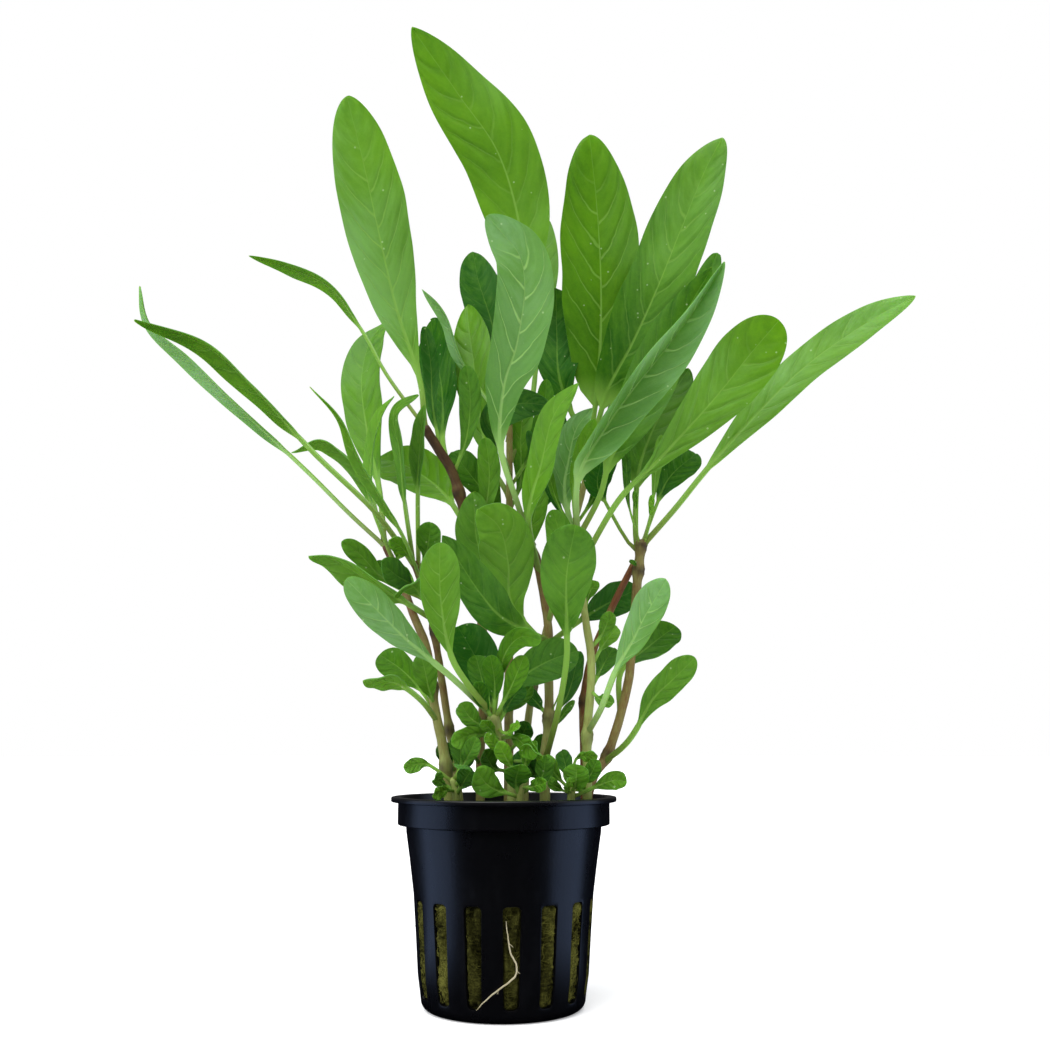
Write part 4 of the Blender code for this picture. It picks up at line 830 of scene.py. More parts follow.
    colour = blend_colour(tree, ribbed, colour, stem_side)
    colour = blend_colour(tree, do_math(tree, "MULTIPLY", dots, 0.35), colour, (0.55, 0.66, 0.38, 1.0))
    height = do_math(tree, "MULTIPLY", vein, given.outputs["Vein Height"])
    height = do_math(tree, "ADD", height, do_math(tree, "MULTIPLY", fine, do_math(tree, "MULTIPLY", given.outputs["Vein Height"], 0.12)))
    height = do_math(tree, "ADD", height, do_math(tree, "MULTIPLY", streak, 0.6))
    tree.links.new(colour, made.inputs["Colour"])
    tree.links.new(remap(tree, tone, 0.05, 0.9, 0.01, 0.13), made.inputs["Sheen"])
    tree.links.new(remap(tree, grain, 0.3, 0.7), made.inputs["Gloss"])
    tree.links.new(height, made.inputs["Height"])
    return tree


def material_with(name, tree, values, roughness, bump, **sockets):
    """A material that takes its colour, roughness and bump from a pattern group."""
    made = bpy.data.materials.new(name)
    made.use_nodes = True
    nodes = made.node_tree
    shader = nodes.nodes["Principled BSDF"]
    pattern = nodes.nodes.new("ShaderNodeGroup")
    pattern.node_tree = tree
    for label, value in values.items():
        pattern.inputs[label].default_value = (*value, 1.0) if hasattr(value, "__len__") else value
    nodes.links.new(pattern.outputs["Colour"], shader.inputs["Base Color"])
    nodes.links.new(remap(nodes, pattern.outputs["Gloss"], 0.0, 1.0, *roughness), shader.inputs["Roughness"])
    relief = add_node(nodes, "ShaderNodeBump", {"Strength": 1.0, "Distance": bump, "Height": pattern.outputs["Height"]})
    nodes.links.new(relief.outputs[0], shader.inputs["Normal"])
    for label, value in sockets.items():
        shader.inputs[label.replace("_", " ")].default_value = value
    return made


def leaf_finishes(settings):
    """The upper and under side of a leaf."""
    tree = bpy.data.node_groups.get("leaf_pattern") or leaf_group()
    upper = material_with(
        "leaf_upper_side", tree,
        {"Deep Colour": settings.deep_colour, "Bright Colour": settings.bright_colour,
         "Wax Colour": settings.wax_colour, "Vein Colour": settings.vein_colour,
         "Stalk Colour": settings.stalk_colour, "Vein Strength": 0.5, "Vein Height": -0.8},
        (0.36, 0.50), 0.00007)
    under = material_with(
        "leaf_under_side", tree,
        {"Deep Colour": settings.under_deep_colour, "Bright Colour": settings.under_bright_colour,
         "Wax Colour": settings.under_painted_sheen_colour, "Vein Colour": settings.under_vein_colour,
         "Stalk Colour": settings.stalk_colour, "Vein Strength": 0.8, "Vein Height": 1.0},
        (0.44, 0.60), 0.00010)
    for finish in (upper, under):
        nodes = finish.node_tree
        shader = nodes.nodes["Principled BSDF"]
        nodes.links.new(nodes.nodes["Group"].outputs["Sheen"], shader.inputs["Specular IOR Level"])
        shader.inputs["Subsurface Weight"].default_value = 0.3
        shader.inputs["Subsurface Radius"].default_value = (0.5, 1.0, 0.12)
        shader.inputs["Subsurface Scale"].default_value = 0.0006
    return upper, under


def stem_group():
    """The pattern of a stem: green turning brown, dark scars at its nodes, a darker upper part on some stems and fine
    lines along it.
    """
    tree, given, made = group_tree(
        "stem_pattern",
        [("Green Colour", "NodeSocketColor"), ("Brown Colour", "NodeSocketColor"), ("Node Colour", "NodeSocketColor")],
        [("Colour", "NodeSocketColor"), ("Gloss", "NodeSocketFloat"), ("Height", "NodeSocketFloat")])
    place = add_node(tree, "ShaderNodeTexCoord").outputs["Object"]
    skin = add_node(tree, "ShaderNodeUVMap", uv_map="skin").outputs[0]
    brown = add_node(tree, "ShaderNodeAttribute", attribute_name="brown").outputs["Fac"]
    scar = add_node(tree, "ShaderNodeAttribute", attribute_name="scar").outputs["Fac"]
    lines = add_node(tree, "ShaderNodeMapping", {"Vector": skin, "Scale": (26.0, 0.5, 1.0)}).outputs[0]
    streak = noise_mask(tree, lines, 1.0, 3.0)
    mottle = noise_mask(tree, place, 260.0, 4.0)
    share = do_math(tree, "ADD", brown, do_math(tree, "MULTIPLY", do_math(tree, "SUBTRACT", mottle, 0.5), 0.9))
    share = do_math(tree, "ADD", share, do_math(tree, "MULTIPLY", do_math(tree, "SUBTRACT", streak, 0.5), 0.8), clamp=True)
    colour = blend_colour(tree, share, given.outputs["Green Colour"], given.outputs["Brown Colour"])
    marked = do_math(tree, "MULTIPLY", scar, remap(tree, mottle, 0.3, 0.6, 0.5, 0.95))
    colour = blend_colour(tree, marked, colour, given.outputs["Node Colour"])
    height = do_math(tree, "ADD", streak, do_math(tree, "MULTIPLY", mottle, 0.6))
    tree.links.new(colour, made.inputs["Colour"])
    tree.links.new(mottle, made.inputs["Gloss"])
    tree.links.new(height, made.inputs["Height"])
    return tree


def stem_finish(settings):
    """The skin of a stem."""
    return material_with(
        "stem_skin", stem_group(),
        {"Green Colour": settings.green_colour, "Brown Colour": settings.brown_colour,
         "Node Colour": settings.node_colour},
        (0.36, 0.6), 0.00018, Specular_IOR_Level=0.3)


def stem_skin(stem, route):
    """A stem as a grid wrapped into a tube, with swollen nodes, ring scars and a rounded top."""
    length = route[1][-1]
    rows = max(12, round(length / 0.7))
    work = bmesh.new()
    bmesh.ops.create_grid(work, x_segments=rows, y_segments=STEM_COLUMNS, size=1.0)
    brown = work.verts.layers.float.new("brown")
    scar = work.verts.layers.float.new("scar")
    skin = work.loops.layers.uv.new("skin")
    tangents = [(along(route, i / rows + 0.02) - along(route, i / rows - 0.02)).normalized() for i in range(rows + 1)]
    spine = [along(route, i / rows) for i in range(rows + 1)]
    sides = [tangents[0].cross(Vector((0, -1, 0))).normalized()]
    for a, b in zip(tangents, tangents[1:]):
        sides.append(a.rotation_difference(b) @ sides[-1])
    mapped = {}
    for vert in work.verts:
        row = round((vert.co.x + 1) / 2 * rows)
        turn = (vert.co.y + 1) / 2
        share = row / rows
        radius = stem.foot + (stem.top - stem.foot) * share
        mark = 0.0
        for node in stem.nodes:
            apart = (share - node) * length / NODE_LENGTH
            radius *= 1 + NODE_SWELL * math.exp(-apart * apart)
            radius *= 1 - 0.10 * math.exp(-(apart * 4.5) ** 2)
            mark = max(mark, math.exp(-(apart * 1.1) ** 2))
        # Some stems darken towards the top, by the table of darker tops
        mark = max(mark, DARK_TOPS.get(stem.name, 0.0) * smoothstep(0.35, 1.0, share))
        grown = spine[row] * 0.35
        radius *= 1 + 0.09 * noise.noise(Vector((grown.x, grown.y + turn % 1.0 * 0.7, grown.z)))
        radius *= math.sqrt(max(0.0, 1 - smoothstep(0.0, 1.0, (share * length - length + 0.8) / 0.8)))
        angle = math.tau * (turn % 1.0)
        side = sides[row]
        out = side * math.cos(angle) + tangents[row].cross(side) * math.sin(angle)
        mapped[vert] = (turn, share * length)
        vert.co = (spine[row] + out * radius) * MM
        vert[brown] = stem.brown[0] + (stem.brown[1] - stem.brown[0]) * share
        vert[scar] = mark * min(1.0, 0.4 + vert[brown])
    for face in work.faces:
        for loop in face.loops:
            loop[skin].uv = mapped[loop.vert]
    bmesh.ops.remove_doubles(work, verts=work.verts, dist=0.000004)
    bmesh.ops.holes_fill(work, edges=[edge for edge in work.edges if edge.is_boundary], sides=0)
    bmesh.ops.recalc_face_normals(work, faces=work.faces)
    return work


def wall_radius(height):
    """The pot's outside radius at a height on its slotted wall."""
    points = [(0.7, BASE_RADIUS + 1.1), (2.2, BASE_RADIUS + 2.0), (LOW_HEIGHT, LOW_RADIUS),
              (SLOT_TOP + 0.8, SLOT_TOP_RADIUS), (COLLAR_BOTTOM - 1.2, SHOULDER_RADIUS)]
    for (z0, r0), (z1, r1) in zip(points, points[1:]):
        if height <= z1:
            return r0 + (r1 - r0) * (max(height, z0) - z0) / (z1 - z0)
    return SHOULDER_RADIUS


def turned_skin(profile, steps, closed=True):
    """Turn a profile of (radius, height) pairs about Z."""
    work = bmesh.new()
    verts = [work.verts.new((radius * MM, 0.0, height * MM)) for radius, height in profile]
    edges = [work.edges.new(pair) for pair in zip(verts, verts[1:])]
    bmesh.ops.spin(work, geom=verts + edges, cent=(0, 0, 0), axis=(0, 0, 1), angle=math.tau, steps=steps,
                   use_merge=True)
    bmesh.ops.remove_doubles(work, verts=work.verts, dist=0.000002)
    bmesh.ops.recalc_face_normals(work, faces=work.faces)
    return work


def arc(centre, radius, first, last, steps):
    """Points of a round corner in a profile, from one angle to another in degrees."""
    points = []
    for i in range(steps + 1):
        angle = math.radians(first + (last - first) * i / steps)
        points.append((centre[0] + radius * math.cos(angle), centre[1] + radius * math.sin(angle)))
    return points


def pot_profile():
    """The pot's wall from its inside middle up over the lip and down to the middle of its base."""
    lip = 0.35
    inner = [
        (0.0, FLOOR), (BASE_RADIUS - 0.6, FLOOR), (BASE_RADIUS + 0.2, FLOOR + 0.5), (LOW_RADIUS - WALL, LOW_HEIGHT),
        (SLOT_TOP_RADIUS - WALL, SLOT_TOP + 0.8), (SHOULDER_RADIUS - WALL, COLLAR_BOTTOM - 0.8),
        (COLLAR_RADIUS - WALL - 0.2, COLLAR_BOTTOM + 0.4), (COLLAR_RADIUS - WALL, COLLAR_BOTTOM + 0.9),
    ]
    rim = arc((COLLAR_RADIUS - 0.4, POT_HEIGHT - 0.3), 0.3, 180, 90, 3)
    rim += arc((RIM_RADIUS - lip, POT_HEIGHT - lip), lip, 90, 0, 4)
    rim += arc((RIM_RADIUS - lip, POT_HEIGHT - RIM_THICKNESS + lip), lip, 0, -90, 4)
    rim += arc((COLLAR_RADIUS + 0.35, POT_HEIGHT - RIM_THICKNESS - 0.35), 0.35, 90, 180, 3)
    collar = [(COLLAR_RADIUS, COLLAR_BOTTOM + 0.35)]
    collar += arc((COLLAR_RADIUS - 0.35, COLLAR_BOTTOM + 0.35), 0.35, 0, -90, 4)
    collar += arc((SHOULDER_RADIUS + 0.45, COLLAR_BOTTOM - 0.45), 0.4, 90, 180, 3)
    wall = [(SHOULDER_RADIUS, COLLAR_BOTTOM - 1.6), (22.7, 34.0), (SLOT_TOP_RADIUS, SLOT_TOP + 0.8), (21.0, 17.0),
            (LOW_RADIUS, LOW_HEIGHT), (BASE_RADIUS + 2.35, 3.6)]
    foot = arc((BASE_RADIUS - 0.1, 2.3), 2.3, 0, -80, 6)
    return inner + rim + collar + wall + foot + [(BASE_RADIUS - 0.4, 0.0), (0.0, 0.0)]


def slot_cutters():
    """Rounded bars that cut the upright slots."""
    work = bmesh.new()
    middle = (SLOT_TOP + SLOT_BOTTOM) / 2
    for i in range(SLOT_COUNT):
        made = bmesh.ops.create_cube(work, size=1.0)["verts"]
        for vert in made:
            width = SLOT_TOP_WIDTH if vert.co.z > 0 else SLOT_BOTTOM_WIDTH
            vert.co = Vector((vert.co.x * width, vert.co.y * 8.0, vert.co.z * (SLOT_TOP - SLOT_BOTTOM)))
            vert.co += Vector((0.0, -20.0, middle))
        edges = {edge for vert in made for edge in vert.link_edges}
        corners = [edge for edge in edges if abs(edge.verts[0].co.y - edge.verts[1].co.y) > 1.0]
        rounded = bmesh.ops.bevel(work, geom=corners, offset=1.1, offset_type="OFFSET", segments=5, profile=0.5,
                                  affect="EDGES", material=-1)
        made = {vert for vert in made if vert.is_valid} | set(rounded["verts"])
        turn = Matrix.Rotation(SLOT_PHASE + i * math.tau / SLOT_COUNT, 4, "Z")
        for vert in made:
            vert.co = (turn @ vert.co) * MM
    return work


def slotted_pot(settings):
    """The pot's skin with its slots cut and their edges rounded."""
    blank = bpy.data.meshes.new("pot_blank")
    work = turned_skin(pot_profile(), POT_STEPS)
    work.to_mesh(blank)
    work.free()
    bars = bpy.data.meshes.new("slot_bars")
    cutters = slot_cutters()
    cutters.to_mesh(bars)
    cutters.free()
    pot = bpy.data.objects.new("pot_blank", blank)
    cutter = bpy.data.objects.new("slot_bars", bars)
    for made in (pot, cutter):
        bpy.context.scene.collection.objects.link(made)
    boolean = pot.modifiers.new("slots", "BOOLEAN")
    boolean.operation = "DIFFERENCE"
    boolean.solver = "EXACT"
    boolean.object = cutter
    depsgraph = bpy.context.evaluated_depsgraph_get()
    cut = bpy.data.meshes.new_from_object(pot.evaluated_get(depsgraph))
    work = bmesh.new()
    work.from_mesh(cut)
    for made in (pot, cutter):
        bpy.data.objects.remove(made)
    edges = []
    for edge in work.edges:
        middle = (edge.verts[0].co + edge.verts[1].co) / 2 / MM
        if SLOT_BOTTOM - 0.2 < middle.z < SLOT_TOP + 0.2 and edge.calc_face_angle(0.0) > math.radians(60):
            if middle.xy.length > wall_radius(middle.z) - 0.3:
                edges.append(edge)
    bmesh.ops.bevel(work, geom=edges, offset=settings.edge_radius, offset_type="OFFSET", segments=2, profile=0.5,
                    affect="EDGES", clamp_overlap=True, material=-1)
    return work


def pot_group():
    """The pattern of worn black plastic: a faint bloom, fine scratches and specks."""
    tree, given, made = group_tree(
        "plastic_pattern", [("Plastic Colour", "NodeSocketColor"), ("Bloom Colour", "NodeSocketColor")],
        [("Colour", "NodeSocketColor"), ("Gloss", "NodeSocketFloat"), ("Height", "NodeSocketFloat")])
    place = add_node(tree, "ShaderNodeTexCoord").outputs["Object"]
    cloud = noise_mask(tree, place, 70.0, 5.0, 0.65)
    grain = noise_mask(tree, place, 1800.0, 2.0)
    tall = add_node(tree, "ShaderNodeMapping", {"Vector": place, "Scale": (420.0, 420.0, 30.0)}).outputs[0]
    streak = noise_mask(tree, tall, 1.0, 2.0)
    patch_mask = do_math(tree, "MULTIPLY", remap(tree, cloud, 0.45, 0.8), remap(tree, streak, 0.4, 0.7))
    colour = blend_colour(tree, do_math(tree, "MULTIPLY", patch_mask, 0.5), given.outputs["Plastic Colour"],
                          given.outputs["Bloom Colour"])
    gloss = do_math(tree, "ADD", do_math(tree, "MULTIPLY", cloud, 0.7), do_math(tree, "MULTIPLY", streak, 0.3))
    height = do_math(tree, "ADD", do_math(tree, "MULTIPLY", grain, 0.5), streak)
    tree.links.new(colour, made.inputs["Colour"])
    tree.links.new(gloss, made.inputs["Gloss"])
    tree.links.new(height, made.inputs["Height"])
    return tree


def wool_group():
    """The pattern of rock wool: matted fibres, stained brown and olive, and painted shade that darkens it near the
    middle of the pot's front and back.
    """
    tree, given, made = group_tree(
        "wool_pattern", [("Light Colour", "NodeSocketColor"), ("Dark Colour", "NodeSocketColor")],
        [("Colour", "NodeSocketColor"), ("Gloss", "NodeSocketFloat"), ("Height", "NodeSocketFloat")])
    place = add_node(tree, "ShaderNodeTexCoord").outputs["Object"]
    stain = noise_mask(tree, place, 120.0, 5.0, 0.7)
    mat = noise_mask(tree, place, 900.0, 6.0, 0.7)
    tilted = add_node(tree, "ShaderNodeMapping", {"Vector": place, "Rotation": (0.3, 0.2, 0.0),
                                                  "Scale": (350.0, 350.0, 2200.0)}).outputs[0]
    strand = noise_mask(tree, tilted, 1.0, 4.0, 0.6)
    share = do_math(tree, "ADD", do_math(tree, "MULTIPLY", stain, 0.9), do_math(tree, "MULTIPLY", mat, 0.5))
    share = do_math(tree, "ADD", share, do_math(tree, "MULTIPLY", strand, 0.4))
    share = remap(tree, share, 0.70, 1.15)
    # Painted shade: darker near the middle of the pot's front and back, where light from the sides falls off
    east, _, _ = add_node(tree, "ShaderNodeSeparateXYZ", {0: place}).outputs
    share = do_math(tree, "MULTIPLY", share, remap(tree, do_math(tree, "ABSOLUTE", east), 0.003, 0.018, 0.35, 1.0))
    colour = blend_colour(tree, share, given.outputs["Dark Colour"], given.outputs["Light Colour"])
    height = do_math(tree, "ADD", mat, strand)
    tree.links.new(colour, made.inputs["Colour"])
    tree.links.new(mat, made.inputs["Gloss"])
    tree.links.new(height, made.inputs["Height"])
    return tree


def wool_finish(settings, name, lighten=1.0):
    """Matted rock wool, or its loose fibres a little lighter."""
    tree = bpy.data.node_groups.get("wool_pattern") or wool_group()
    light = tuple(min(1.0, part * lighten) for part in settings.light_colour)
    return material_with(name, tree, {"Light Colour": light, "Dark Colour": settings.dark_colour}, (0.85, 0.98), 0.0004,
                         Specular_IOR_Level=0.04)


def slot_share(angle, height):
    """How far a place on the wall lies in a slot: 1 in its middle, 0 on the bars."""
    pitch = math.tau / SLOT_COUNT
    apart = (angle + math.pi / 2 - SLOT_PHASE + pitch / 2) % pitch - pitch / 2
    rise = min(max((height - SLOT_BOTTOM) / (SLOT_TOP - SLOT_BOTTOM), 0.0), 1.0)
    width = SLOT_BOTTOM_WIDTH + (SLOT_TOP_WIDTH - SLOT_BOTTOM_WIDTH) * rise
    off = abs(apart) * wall_radius(height) / (width / 2)
    ends = min(height - SLOT_BOTTOM, SLOT_TOP - height)
    return (1 - smoothstep(0.84, 0.98, off)) * smoothstep(0.0, 0.6, ends)


def wool_skin(settings):
    """The plug, turned finely, swelling out between the pot's bars and rough all over."""
    inside = WALL + WOOL_GAP
    heights = [FLOOR + 0.4 + i * 0.42 for i in range(60)]
    profile = [(0.0, WOOL_TOP), (7.0, WOOL_TOP), (14.0, WOOL_TOP), (19.0, WOOL_TOP), (22.0, WOOL_TOP),
               (COLLAR_RADIUS - inside - 1.2, WOOL_TOP), (COLLAR_RADIUS - inside, WOOL_TOP - 1.2),
               (COLLAR_RADIUS - inside, COLLAR_BOTTOM + 1.2), (SHOULDER_RADIUS - inside, COLLAR_BOTTOM - 1.4)]
    profile += [(wall_radius(z) - inside, z) for z in (38.0, 34.0, 30.0)]
    profile += [(wall_radius(z) - inside, z) for z in reversed(heights)]
    profile += [(BASE_RADIUS - 3.0, FLOOR + 0.4), (0.0, FLOOR + 0.4)]
    work = turned_skin(profile, WOOL_COLUMNS)
    for vert in work.verts:
        spot = vert.co / MM
        radius = spot.xy.length
        if radius < 1.0:
            continue
        out = Vector((spot.x, spot.y, 0.0)) / radius
        rough = noise.fractal(spot * 0.9, 0.7, 2.1, 4)
        if spot.z > WOOL_TOP - 0.4:
            vert.co += Vector((0, 0, 0.45 * (rough - 0.4))) * MM
            continue
        window = slot_share(math.atan2(spot.y, spot.x), spot.z)
        swell = settings.bulge / MM * window
        hollow = smoothstep(0.0, 0.45, noise.noise(Vector((spot.x * 0.5, spot.y * 0.5, spot.z * 0.14 + 4.0))))
        vert.co += out * (swell + (0.5 * rough - 0.15 - 2.4 * hollow) * window) * MM
    return work


def fibre_mesh(settings):
    """Loose fibres that lie on the wool in the slots, as thin three-sided strands."""
    rng = random.Random(7)
    work = bmesh.new()
    pitch = math.tau / SLOT_COUNT
    steps = 5
    for slot_number in range(SLOT_COUNT):
        middle = -math.pi / 2 + SLOT_PHASE + slot_number * pitch
        for _ in range(settings.fibres):
            height = rng.uniform(SLOT_BOTTOM + 1.0, SLOT_TOP - 1.0)
            angle = middle + rng.uniform(-0.07, 0.07)
            heading = rng.gauss(0.0, 0.9)
            bend = rng.uniform(-0.9, 0.9)
            reach = rng.uniform(1.6, 4.6)
            thick = rng.uniform(0.035, 0.075)
            lift = rng.uniform(0.0, 0.16)
            points = []
            for i in range(steps + 1):
                t = i / steps - 0.5
                course = heading + bend * t
                spot_angle = angle + reach * t * math.cos(course) / 21.0
                spot_height = min(max(height + reach * t * math.sin(course), SLOT_BOTTOM + 0.3), SLOT_TOP - 0.3)
                window = slot_share(spot_angle, spot_height)
                radius = wall_radius(spot_height) - WALL - WOOL_GAP + settings.bulge / MM * window
                radius += lift * window * math.cos(math.pi * t) - 0.02
                points.append(Vector((radius * math.cos(spot_angle), radius * math.sin(spot_angle), spot_height)))
            add_strand(work, points, thick, 3)
    return work


def add_strand(work, points, thick, sides):
    """One thin strand through points, tapering at both ends, as a closed grid wrapped round."""
    rows = len(points) - 1
    made = bmesh.ops.create_grid(work, x_segments=rows, y_segments=sides, size=1.0)["verts"]
    for vert in made:
        row = round((vert.co.x + 1) / 2 * rows)
        angle = math.tau * round((vert.co.y + 1) / 2 * sides) / sides
        ahead = points[min(row + 1, rows)] - points[max(row - 1, 0)]
        side = ahead.cross(Vector((0.3, 0.2, 1.0))).normalized()
        other = side.cross(ahead.normalized())
        taper = math.sin(math.pi * min(max((row + 0.15) / (rows + 0.3), 0.0), 1.0)) ** 0.4
        vert.co = (points[row] + (side * math.cos(angle) + other * math.sin(angle)) * thick * taper) * MM
    bmesh.ops.remove_doubles(work, verts=made, dist=0.000002)
    loose = [vert for vert in made if vert.is_valid]
    edges = {edge for vert in loose for edge in vert.link_edges if edge.is_boundary}
    bmesh.ops.holes_fill(work, edges=list(edges), sides=0)


def camera_pose(scene, settings):
    """Put the camera at the photograph's place: low in front, looking up a little."""
    data = bpy.data.cameras.new("front_camera")
    data.sensor_width = 36.0
    data.lens = 40.97
    data.clip_start = 0.01
    data.clip_end = 20.0
    camera = bpy.data.objects.new("front_camera", data)
    camera.location = (0.00515, -settings.camera_distance, settings.camera_height)
    camera.rotation_euler = (math.pi / 2 + settings.camera_tilt, 0.0, 0.0)
    scene.collection.objects.link(camera)
    scene.camera = camera


def area_light(scene, name, place, aim, size, power, colour=(1.0, 1.0, 1.0)):
    """A soft rectangular light aimed at a point."""
    data = bpy.data.lights.new(name, "AREA")
    data.shape = "RECTANGLE"
    data.size, data.size_y = size
    data.energy = power
    data.color = colour
    light = bpy.data.objects.new(name, data)
    light.location = place
    light.rotation_euler = (Vector(aim) - Vector(place)).to_track_quat("-Z", "Y").to_euler()
    scene.collection.objects.link(light)


class HYGROPHILA_OT_stage(bpy.types.Operator):
    """Lay the pale floor, hang the studio lights and place the camera"""

    bl_idname = "hygrophila.stage"
    bl_label = "Stage"

    def execute(self, context):
        scene = context.scene
        settings = scene.hygrophila_stage
        work = bmesh.new()
        bmesh.ops.create_circle(work, cap_ends=True, segments=96, radius=6.0)
        mesh = bpy.data.meshes.new("floor")
        work.to_mesh(mesh)
        work.free()
        floor = bpy.data.objects.new("floor", mesh)
        scene.collection.objects.link(floor)
        finish = bpy.data.materials.new("floor_paint")
        finish.use_nodes = True
        shader = finish.node_tree.nodes["Principled BSDF"]
        shader.inputs["Roughness"].default_value = 0.9
        shader.inputs["Specular IOR Level"].default_value = 0.0
        paint = finish.node_tree
        place = add_node(paint, "ShaderNodeTexCoord").outputs["Object"]
        # Painted reflection: to glossy rays the floor is near black, with two bluish strips beside the pot, which paint
        # the pot's dark reflection and the blue reflections at its sides
        east, north, _ = add_node(paint, "ShaderNodeSeparateXYZ", {0: place}).outputs
        round_pot = do_math(paint, "ARCTAN2", do_math(paint, "ABSOLUTE", east), do_math(paint, "MULTIPLY", north, -1.0))
        sides = do_math(paint, "MULTIPLY", remap(paint, round_pot, math.radians(54), math.radians(62)),
                        remap(paint, round_pot, math.radians(98), math.radians(114), 1.0, 0.0))
        distance = add_node(paint, "ShaderNodeVectorMath", {0: place}, operation="LENGTH").outputs["Value"]
        sides = do_math(paint, "MULTIPLY", sides, remap(paint, distance, 0.030, 0.085))
        mirrored = blend_colour(paint, sides, (0.004, 0.004, 0.006, 1.0), (0.33, 0.45, 0.75, 1.0))
        path = paint.nodes.new("ShaderNodeLightPath")
        colour = blend_colour(paint, path.outputs["Is Glossy Ray"], (*settings.floor_colour, 1.0), mirrored)
        paint.links.new(colour, shader.inputs["Base Color"])
        shader.inputs["Emission Color"].default_value = (1.0, 1.0, 1.0, 1.0)
        lifted = do_math(paint, "MULTIPLY", path.outputs["Is Camera Ray"], 0.3)
        paint.links.new(lifted, shader.inputs["Emission Strength"])
        mesh.materials.append(finish)
        camera_pose(scene, settings)
        power = settings.light_power
        aim = (0.0, 0.0, 0.13)
        sun = bpy.data.lights.new("soft_sun", "SUN")
        sun.energy = settings.sun_strength
        sun.angle = math.radians(70)
        lamp = bpy.data.objects.new("soft_sun", sun)
        lamp.rotation_euler = Vector((0.22, 0.40, -0.85)).to_track_quat("-Z", "Y").to_euler()
        scene.collection.objects.link(lamp)
        cool = (0.62, 0.74, 1.0)
        area_light(scene, "key_light", (-0.55, -0.75, 0.75), aim, (0.6, 0.6), power)
        area_light(scene, "fill_light", (0.75, -0.55, 0.6), aim, (0.6, 0.6), power * 0.5)
        area_light(scene, "back_light", (0.1, 0.6, 0.9), aim, (0.9, 0.6), power * 0.6)
        area_light(scene, "left_panel", (-0.7, -0.08, 0.2), (0, 0, 0.05), (0.5, 0.6), power * 0.4, cool)
        area_light(scene, "right_panel", (0.7, -0.04, 0.2), (0, 0, 0.05), (0.5, 0.6), power * 0.4, cool)
        world = bpy.data.worlds.new("studio")
        world.use_nodes = True
        scene.world = world
        tree = world.node_tree
        glow = tree.nodes["Background"]
        glow.inputs["Color"].default_value = (1.0, 1.0, 1.0, 1.0)
        path = tree.nodes.new("ShaderNodeLightPath")
        mirrored = do_math(tree, "MULTIPLY", path.outputs["Is Glossy Ray"], -0.26)
        strength = do_math(tree, "ADD", do_math(tree, "MULTIPLY", path.outputs["Is Camera Ray"], 0.68), 0.32)
        tree.links.new(do_math(tree, "ADD", strength, mirrored), glow.inputs["Strength"])
        scene.view_settings.view_transform = "Standard"
        return {"FINISHED"}


class HYGROPHILA_OT_net_pot(bpy.types.Operator):
    """Turn the net pot with its lip, collar and slots"""

    bl_idname = "hygrophila.net_pot"
    bl_label = "Net pot"

    def execute(self, context):
        settings = context.scene.hygrophila_pot
        finish = material_with(
            "pot_plastic", pot_group(),
            {"Plastic Colour": settings.plastic_colour, "Bloom Colour": (0.006, 0.007, 0.010)}, (0.20, 0.40), 0.00003,
            Specular_IOR_Level=0.4)
        add_piece(slotted_pot(settings), "net_pot_finished", [finish], ["net_pot"], sharp=32)
        return {"FINISHED"}


class HYGROPHILA_OT_rock_wool(bpy.types.Operator):
    """Fill the pot with rock wool that swells between its bars"""

    bl_idname = "hygrophila.rock_wool"
    bl_label = "Rock wool"

    def execute(self, context):
        settings = context.scene.hygrophila_wool
        add_piece(wool_skin(settings), "rock_wool_plug", [wool_finish(settings, "rock_wool")], ["rock_wool"],
                  sharp=180)
        work = fibre_mesh(settings)
        bmesh.ops.recalc_face_normals(work, faces=work.faces)
        add_piece(work, "rock_wool_fibres", [wool_finish(settings, "rock_wool_fibre", 1.7)], ["rock_wool"],
                  sharp=180)
        return {"FINISHED"}


class HYGROPHILA_OT_white_root(bpy.types.Operator):
    """Lay the white root over its slot"""

    bl_idname = "hygrophila.white_root"
    bl_label = "White root"

    def execute(self, context):
        settings = context.scene.hygrophila_wool
        route = smooth_route(ROOT_ROUTE)
        rows = 70
        work = bmesh.new()
        points = []
        for i in range(rows + 1):
            spot = along(route, i / rows)
            points.append(spot + 0.12 * noise.noise_vector(spot * 0.8))
        add_strand(work, points, 0.20, 10)
        for share, drop in ((0.2, (1.0, -0.1, -0.9)), (0.47, (0.8, -0.1, -0.5)), (0.7, (-0.4, -0.1, -1.0))):
            foot = along(route, share)
            branch = [foot + Vector(drop) * (i / 6) + 0.15 * noise.noise_vector(foot + Vector((i, 0, 0)))
                      for i in range(7)]
            add_strand(work, branch, 0.07, 6)
        bmesh.ops.recalc_face_normals(work, faces=work.faces)
        finish = material_with(
            "root_skin", wool_group(),
            {"Light Colour": settings.root_colour, "Dark Colour": (0.33, 0.28, 0.15)}, (0.5, 0.7), 0.0001)
        add_piece(work, "white_root_finished", [finish], ["white_root"], sharp=60)
        return {"FINISHED"}


class HYGROPHILA_OT_stems(bpy.types.Operator):
    """Grow the stems with their swollen nodes"""

    bl_idname = "hygrophila.stems"
    bl_label = "Stems"

    def execute(self, context):
        finish = stem_finish(context.scene.hygrophila_stems)
        for stem in STEMS:
            work = stem_skin(stem, smooth_route(stem.route))
            add_piece(work, stem.name + "_grown", [finish], [stem.name], sharp=60)
        return {"FINISHED"}


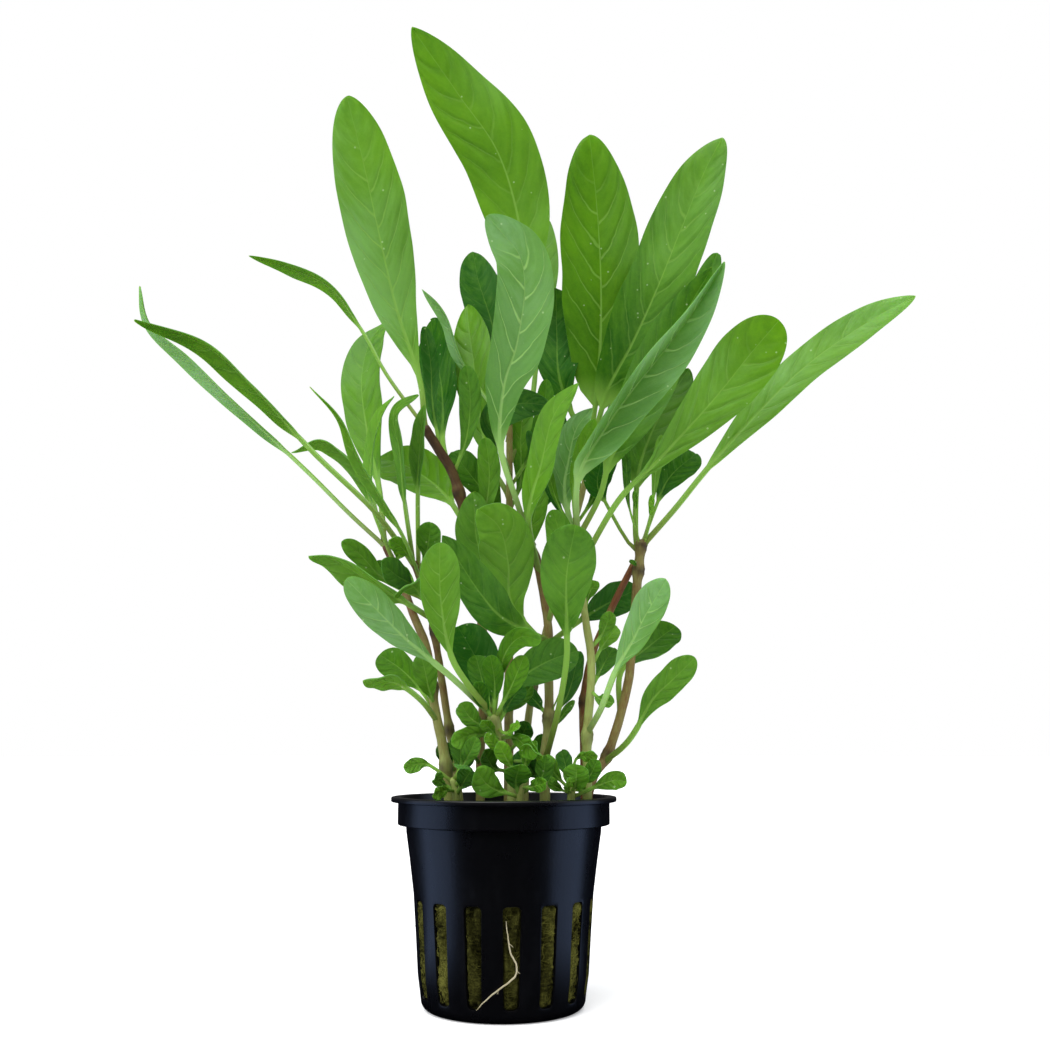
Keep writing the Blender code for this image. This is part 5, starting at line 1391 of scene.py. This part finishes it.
class HYGROPHILA_OT_leaves(bpy.types.Operator):
    """Grow the leaves with their petioles, midribs and side veins"""

    bl_idname = "hygrophila.leaves"
    bl_label = "Leaves"

    def execute(self, context):
        settings = context.scene.hygrophila_leaves
        upper, under = leaf_finishes(settings)
        stems = {stem.name: (stem, smooth_route(stem.route)) for stem in STEMS}
        for leaf in LEAVES:
            stem, stem_route = stems[leaf.stem]
            route = smooth_route([nearest_on(stem_route[0], leaf.route[0])] + leaf.route[1:])
            start = clear_start(route, stem_route[0], stem)
            rng = random.Random(seed_of(leaf.name))
            broad = min(1.0, leaf.width / 18)
            side = 1 if LOOKS[leaf.look][1] else -1
            radius = min(PETIOLE_RADIUS, leaf.width / 12 + 0.1)
            blade = Blade(
                start + (1 - start) * leaf.petiole, leaf.width, leaf.outline, radius,
                math.radians(FOLDS.get(leaf.name, math.degrees(math.atan(DISH)))), route[1][-1],
                max(5, round(settings.vein_pairs * min(1.0, route[1][-1] * (1 - leaf.petiole) / 70))) + 0.5,
                BLADE_ROWS, HALF_COLUMNS, side * settings.quilting / MM * broad, settings.edge_wave / MM * broad,
                settings.thickness / MM, rng.random(), SHADES.get(leaf.name, PLAIN_SHADE))
            tone = LOOKS[leaf.look][0] + rng.uniform(-0.06, 0.06)
            work = bmesh.new()
            veined = VEINED.get(leaf.name, PLAIN_VEINS)
            grow_leaf(work, blade, spine_frames(route, leaf.turn), leaf.look, tone, veined)
            add_piece(work, leaf.name + "_grown", [upper, under], [leaf.name])
        return {"FINISHED"}


class HYGROPHILA_OT_small_leaves(bpy.types.Operator):
    """Grow the small leaves at the nodes and round the foot of the bunch"""

    bl_idname = "hygrophila.small_leaves"
    bl_label = "Small leaves"

    def execute(self, context):
        settings = context.scene.hygrophila_leaves
        finishes = [bpy.data.materials.get(name) for name in ("leaf_upper_side", "leaf_under_side")]
        if not all(finishes):
            finishes = leaf_finishes(settings)
        stems = {stem.name: smooth_route(stem.route)[0] for stem in STEMS}
        for stem in STEMS:
            grown = [small for small in SMALL_LEAVES if small.stem == stem.name]
            young = [small for small in YOUNG_LEAVES if small.stem == stem.name]
            if not grown and not young:
                continue
            work = bmesh.new()
            for number, small in enumerate(grown + young):
                end = -4 if small in grown else None
                grow_small(work, small, stems[stem.name][:end], settings, seed_of(stem.name) + number)
            add_piece(work, stem.name + "_small_leaves", finishes, [stem.name])
        return {"FINISHED"}


class HYGROPHILA_PT_panel(bpy.types.Panel):
    """Buttons and settings of the potted hygrophila"""

    bl_idname = "HYGROPHILA_PT_panel"
    bl_label = "Potted hygrophila"
    bl_space_type = "VIEW_3D"
    bl_region_type = "UI"
    bl_category = "Hygrophila"

    def draw(self, context):
        layout = self.layout
        for operator in OPERATORS:
            layout.operator(operator.bl_idname)
        for group in SETTINGS:
            settings = getattr(context.scene, group)
            box = layout.box()
            for name in settings.__annotations__:
                box.prop(settings, name)


SETTINGS = {
    "hygrophila_stage": StageSettings,
    "hygrophila_pot": PotSettings,
    "hygrophila_wool": WoolSettings,
    "hygrophila_stems": StemSettings,
    "hygrophila_leaves": LeafSettings,
}
OPERATORS = (
    HYGROPHILA_OT_stage, HYGROPHILA_OT_net_pot, HYGROPHILA_OT_rock_wool, HYGROPHILA_OT_white_root,
    HYGROPHILA_OT_stems, HYGROPHILA_OT_leaves, HYGROPHILA_OT_small_leaves,
)


def register():
    for made in (*SETTINGS.values(), *OPERATORS, HYGROPHILA_PT_panel):
        bpy.utils.register_class(made)
    for name, group in SETTINGS.items():
        setattr(bpy.types.Scene, name, PointerProperty(type=group))


def unregister():
    for name in SETTINGS:
        delattr(bpy.types.Scene, name)
    for made in reversed((*SETTINGS.values(), *OPERATORS, HYGROPHILA_PT_panel)):
        bpy.utils.unregister_class(made)


def main():
    register()
    bpy.ops.hygrophila.stage()
    bpy.ops.hygrophila.net_pot()
    bpy.ops.hygrophila.rock_wool()
    bpy.ops.hygrophila.white_root()
    bpy.ops.hygrophila.stems()
    bpy.ops.hygrophila.leaves()
    bpy.ops.hygrophila.small_leaves()


if __name__ == "__main__":
    main()
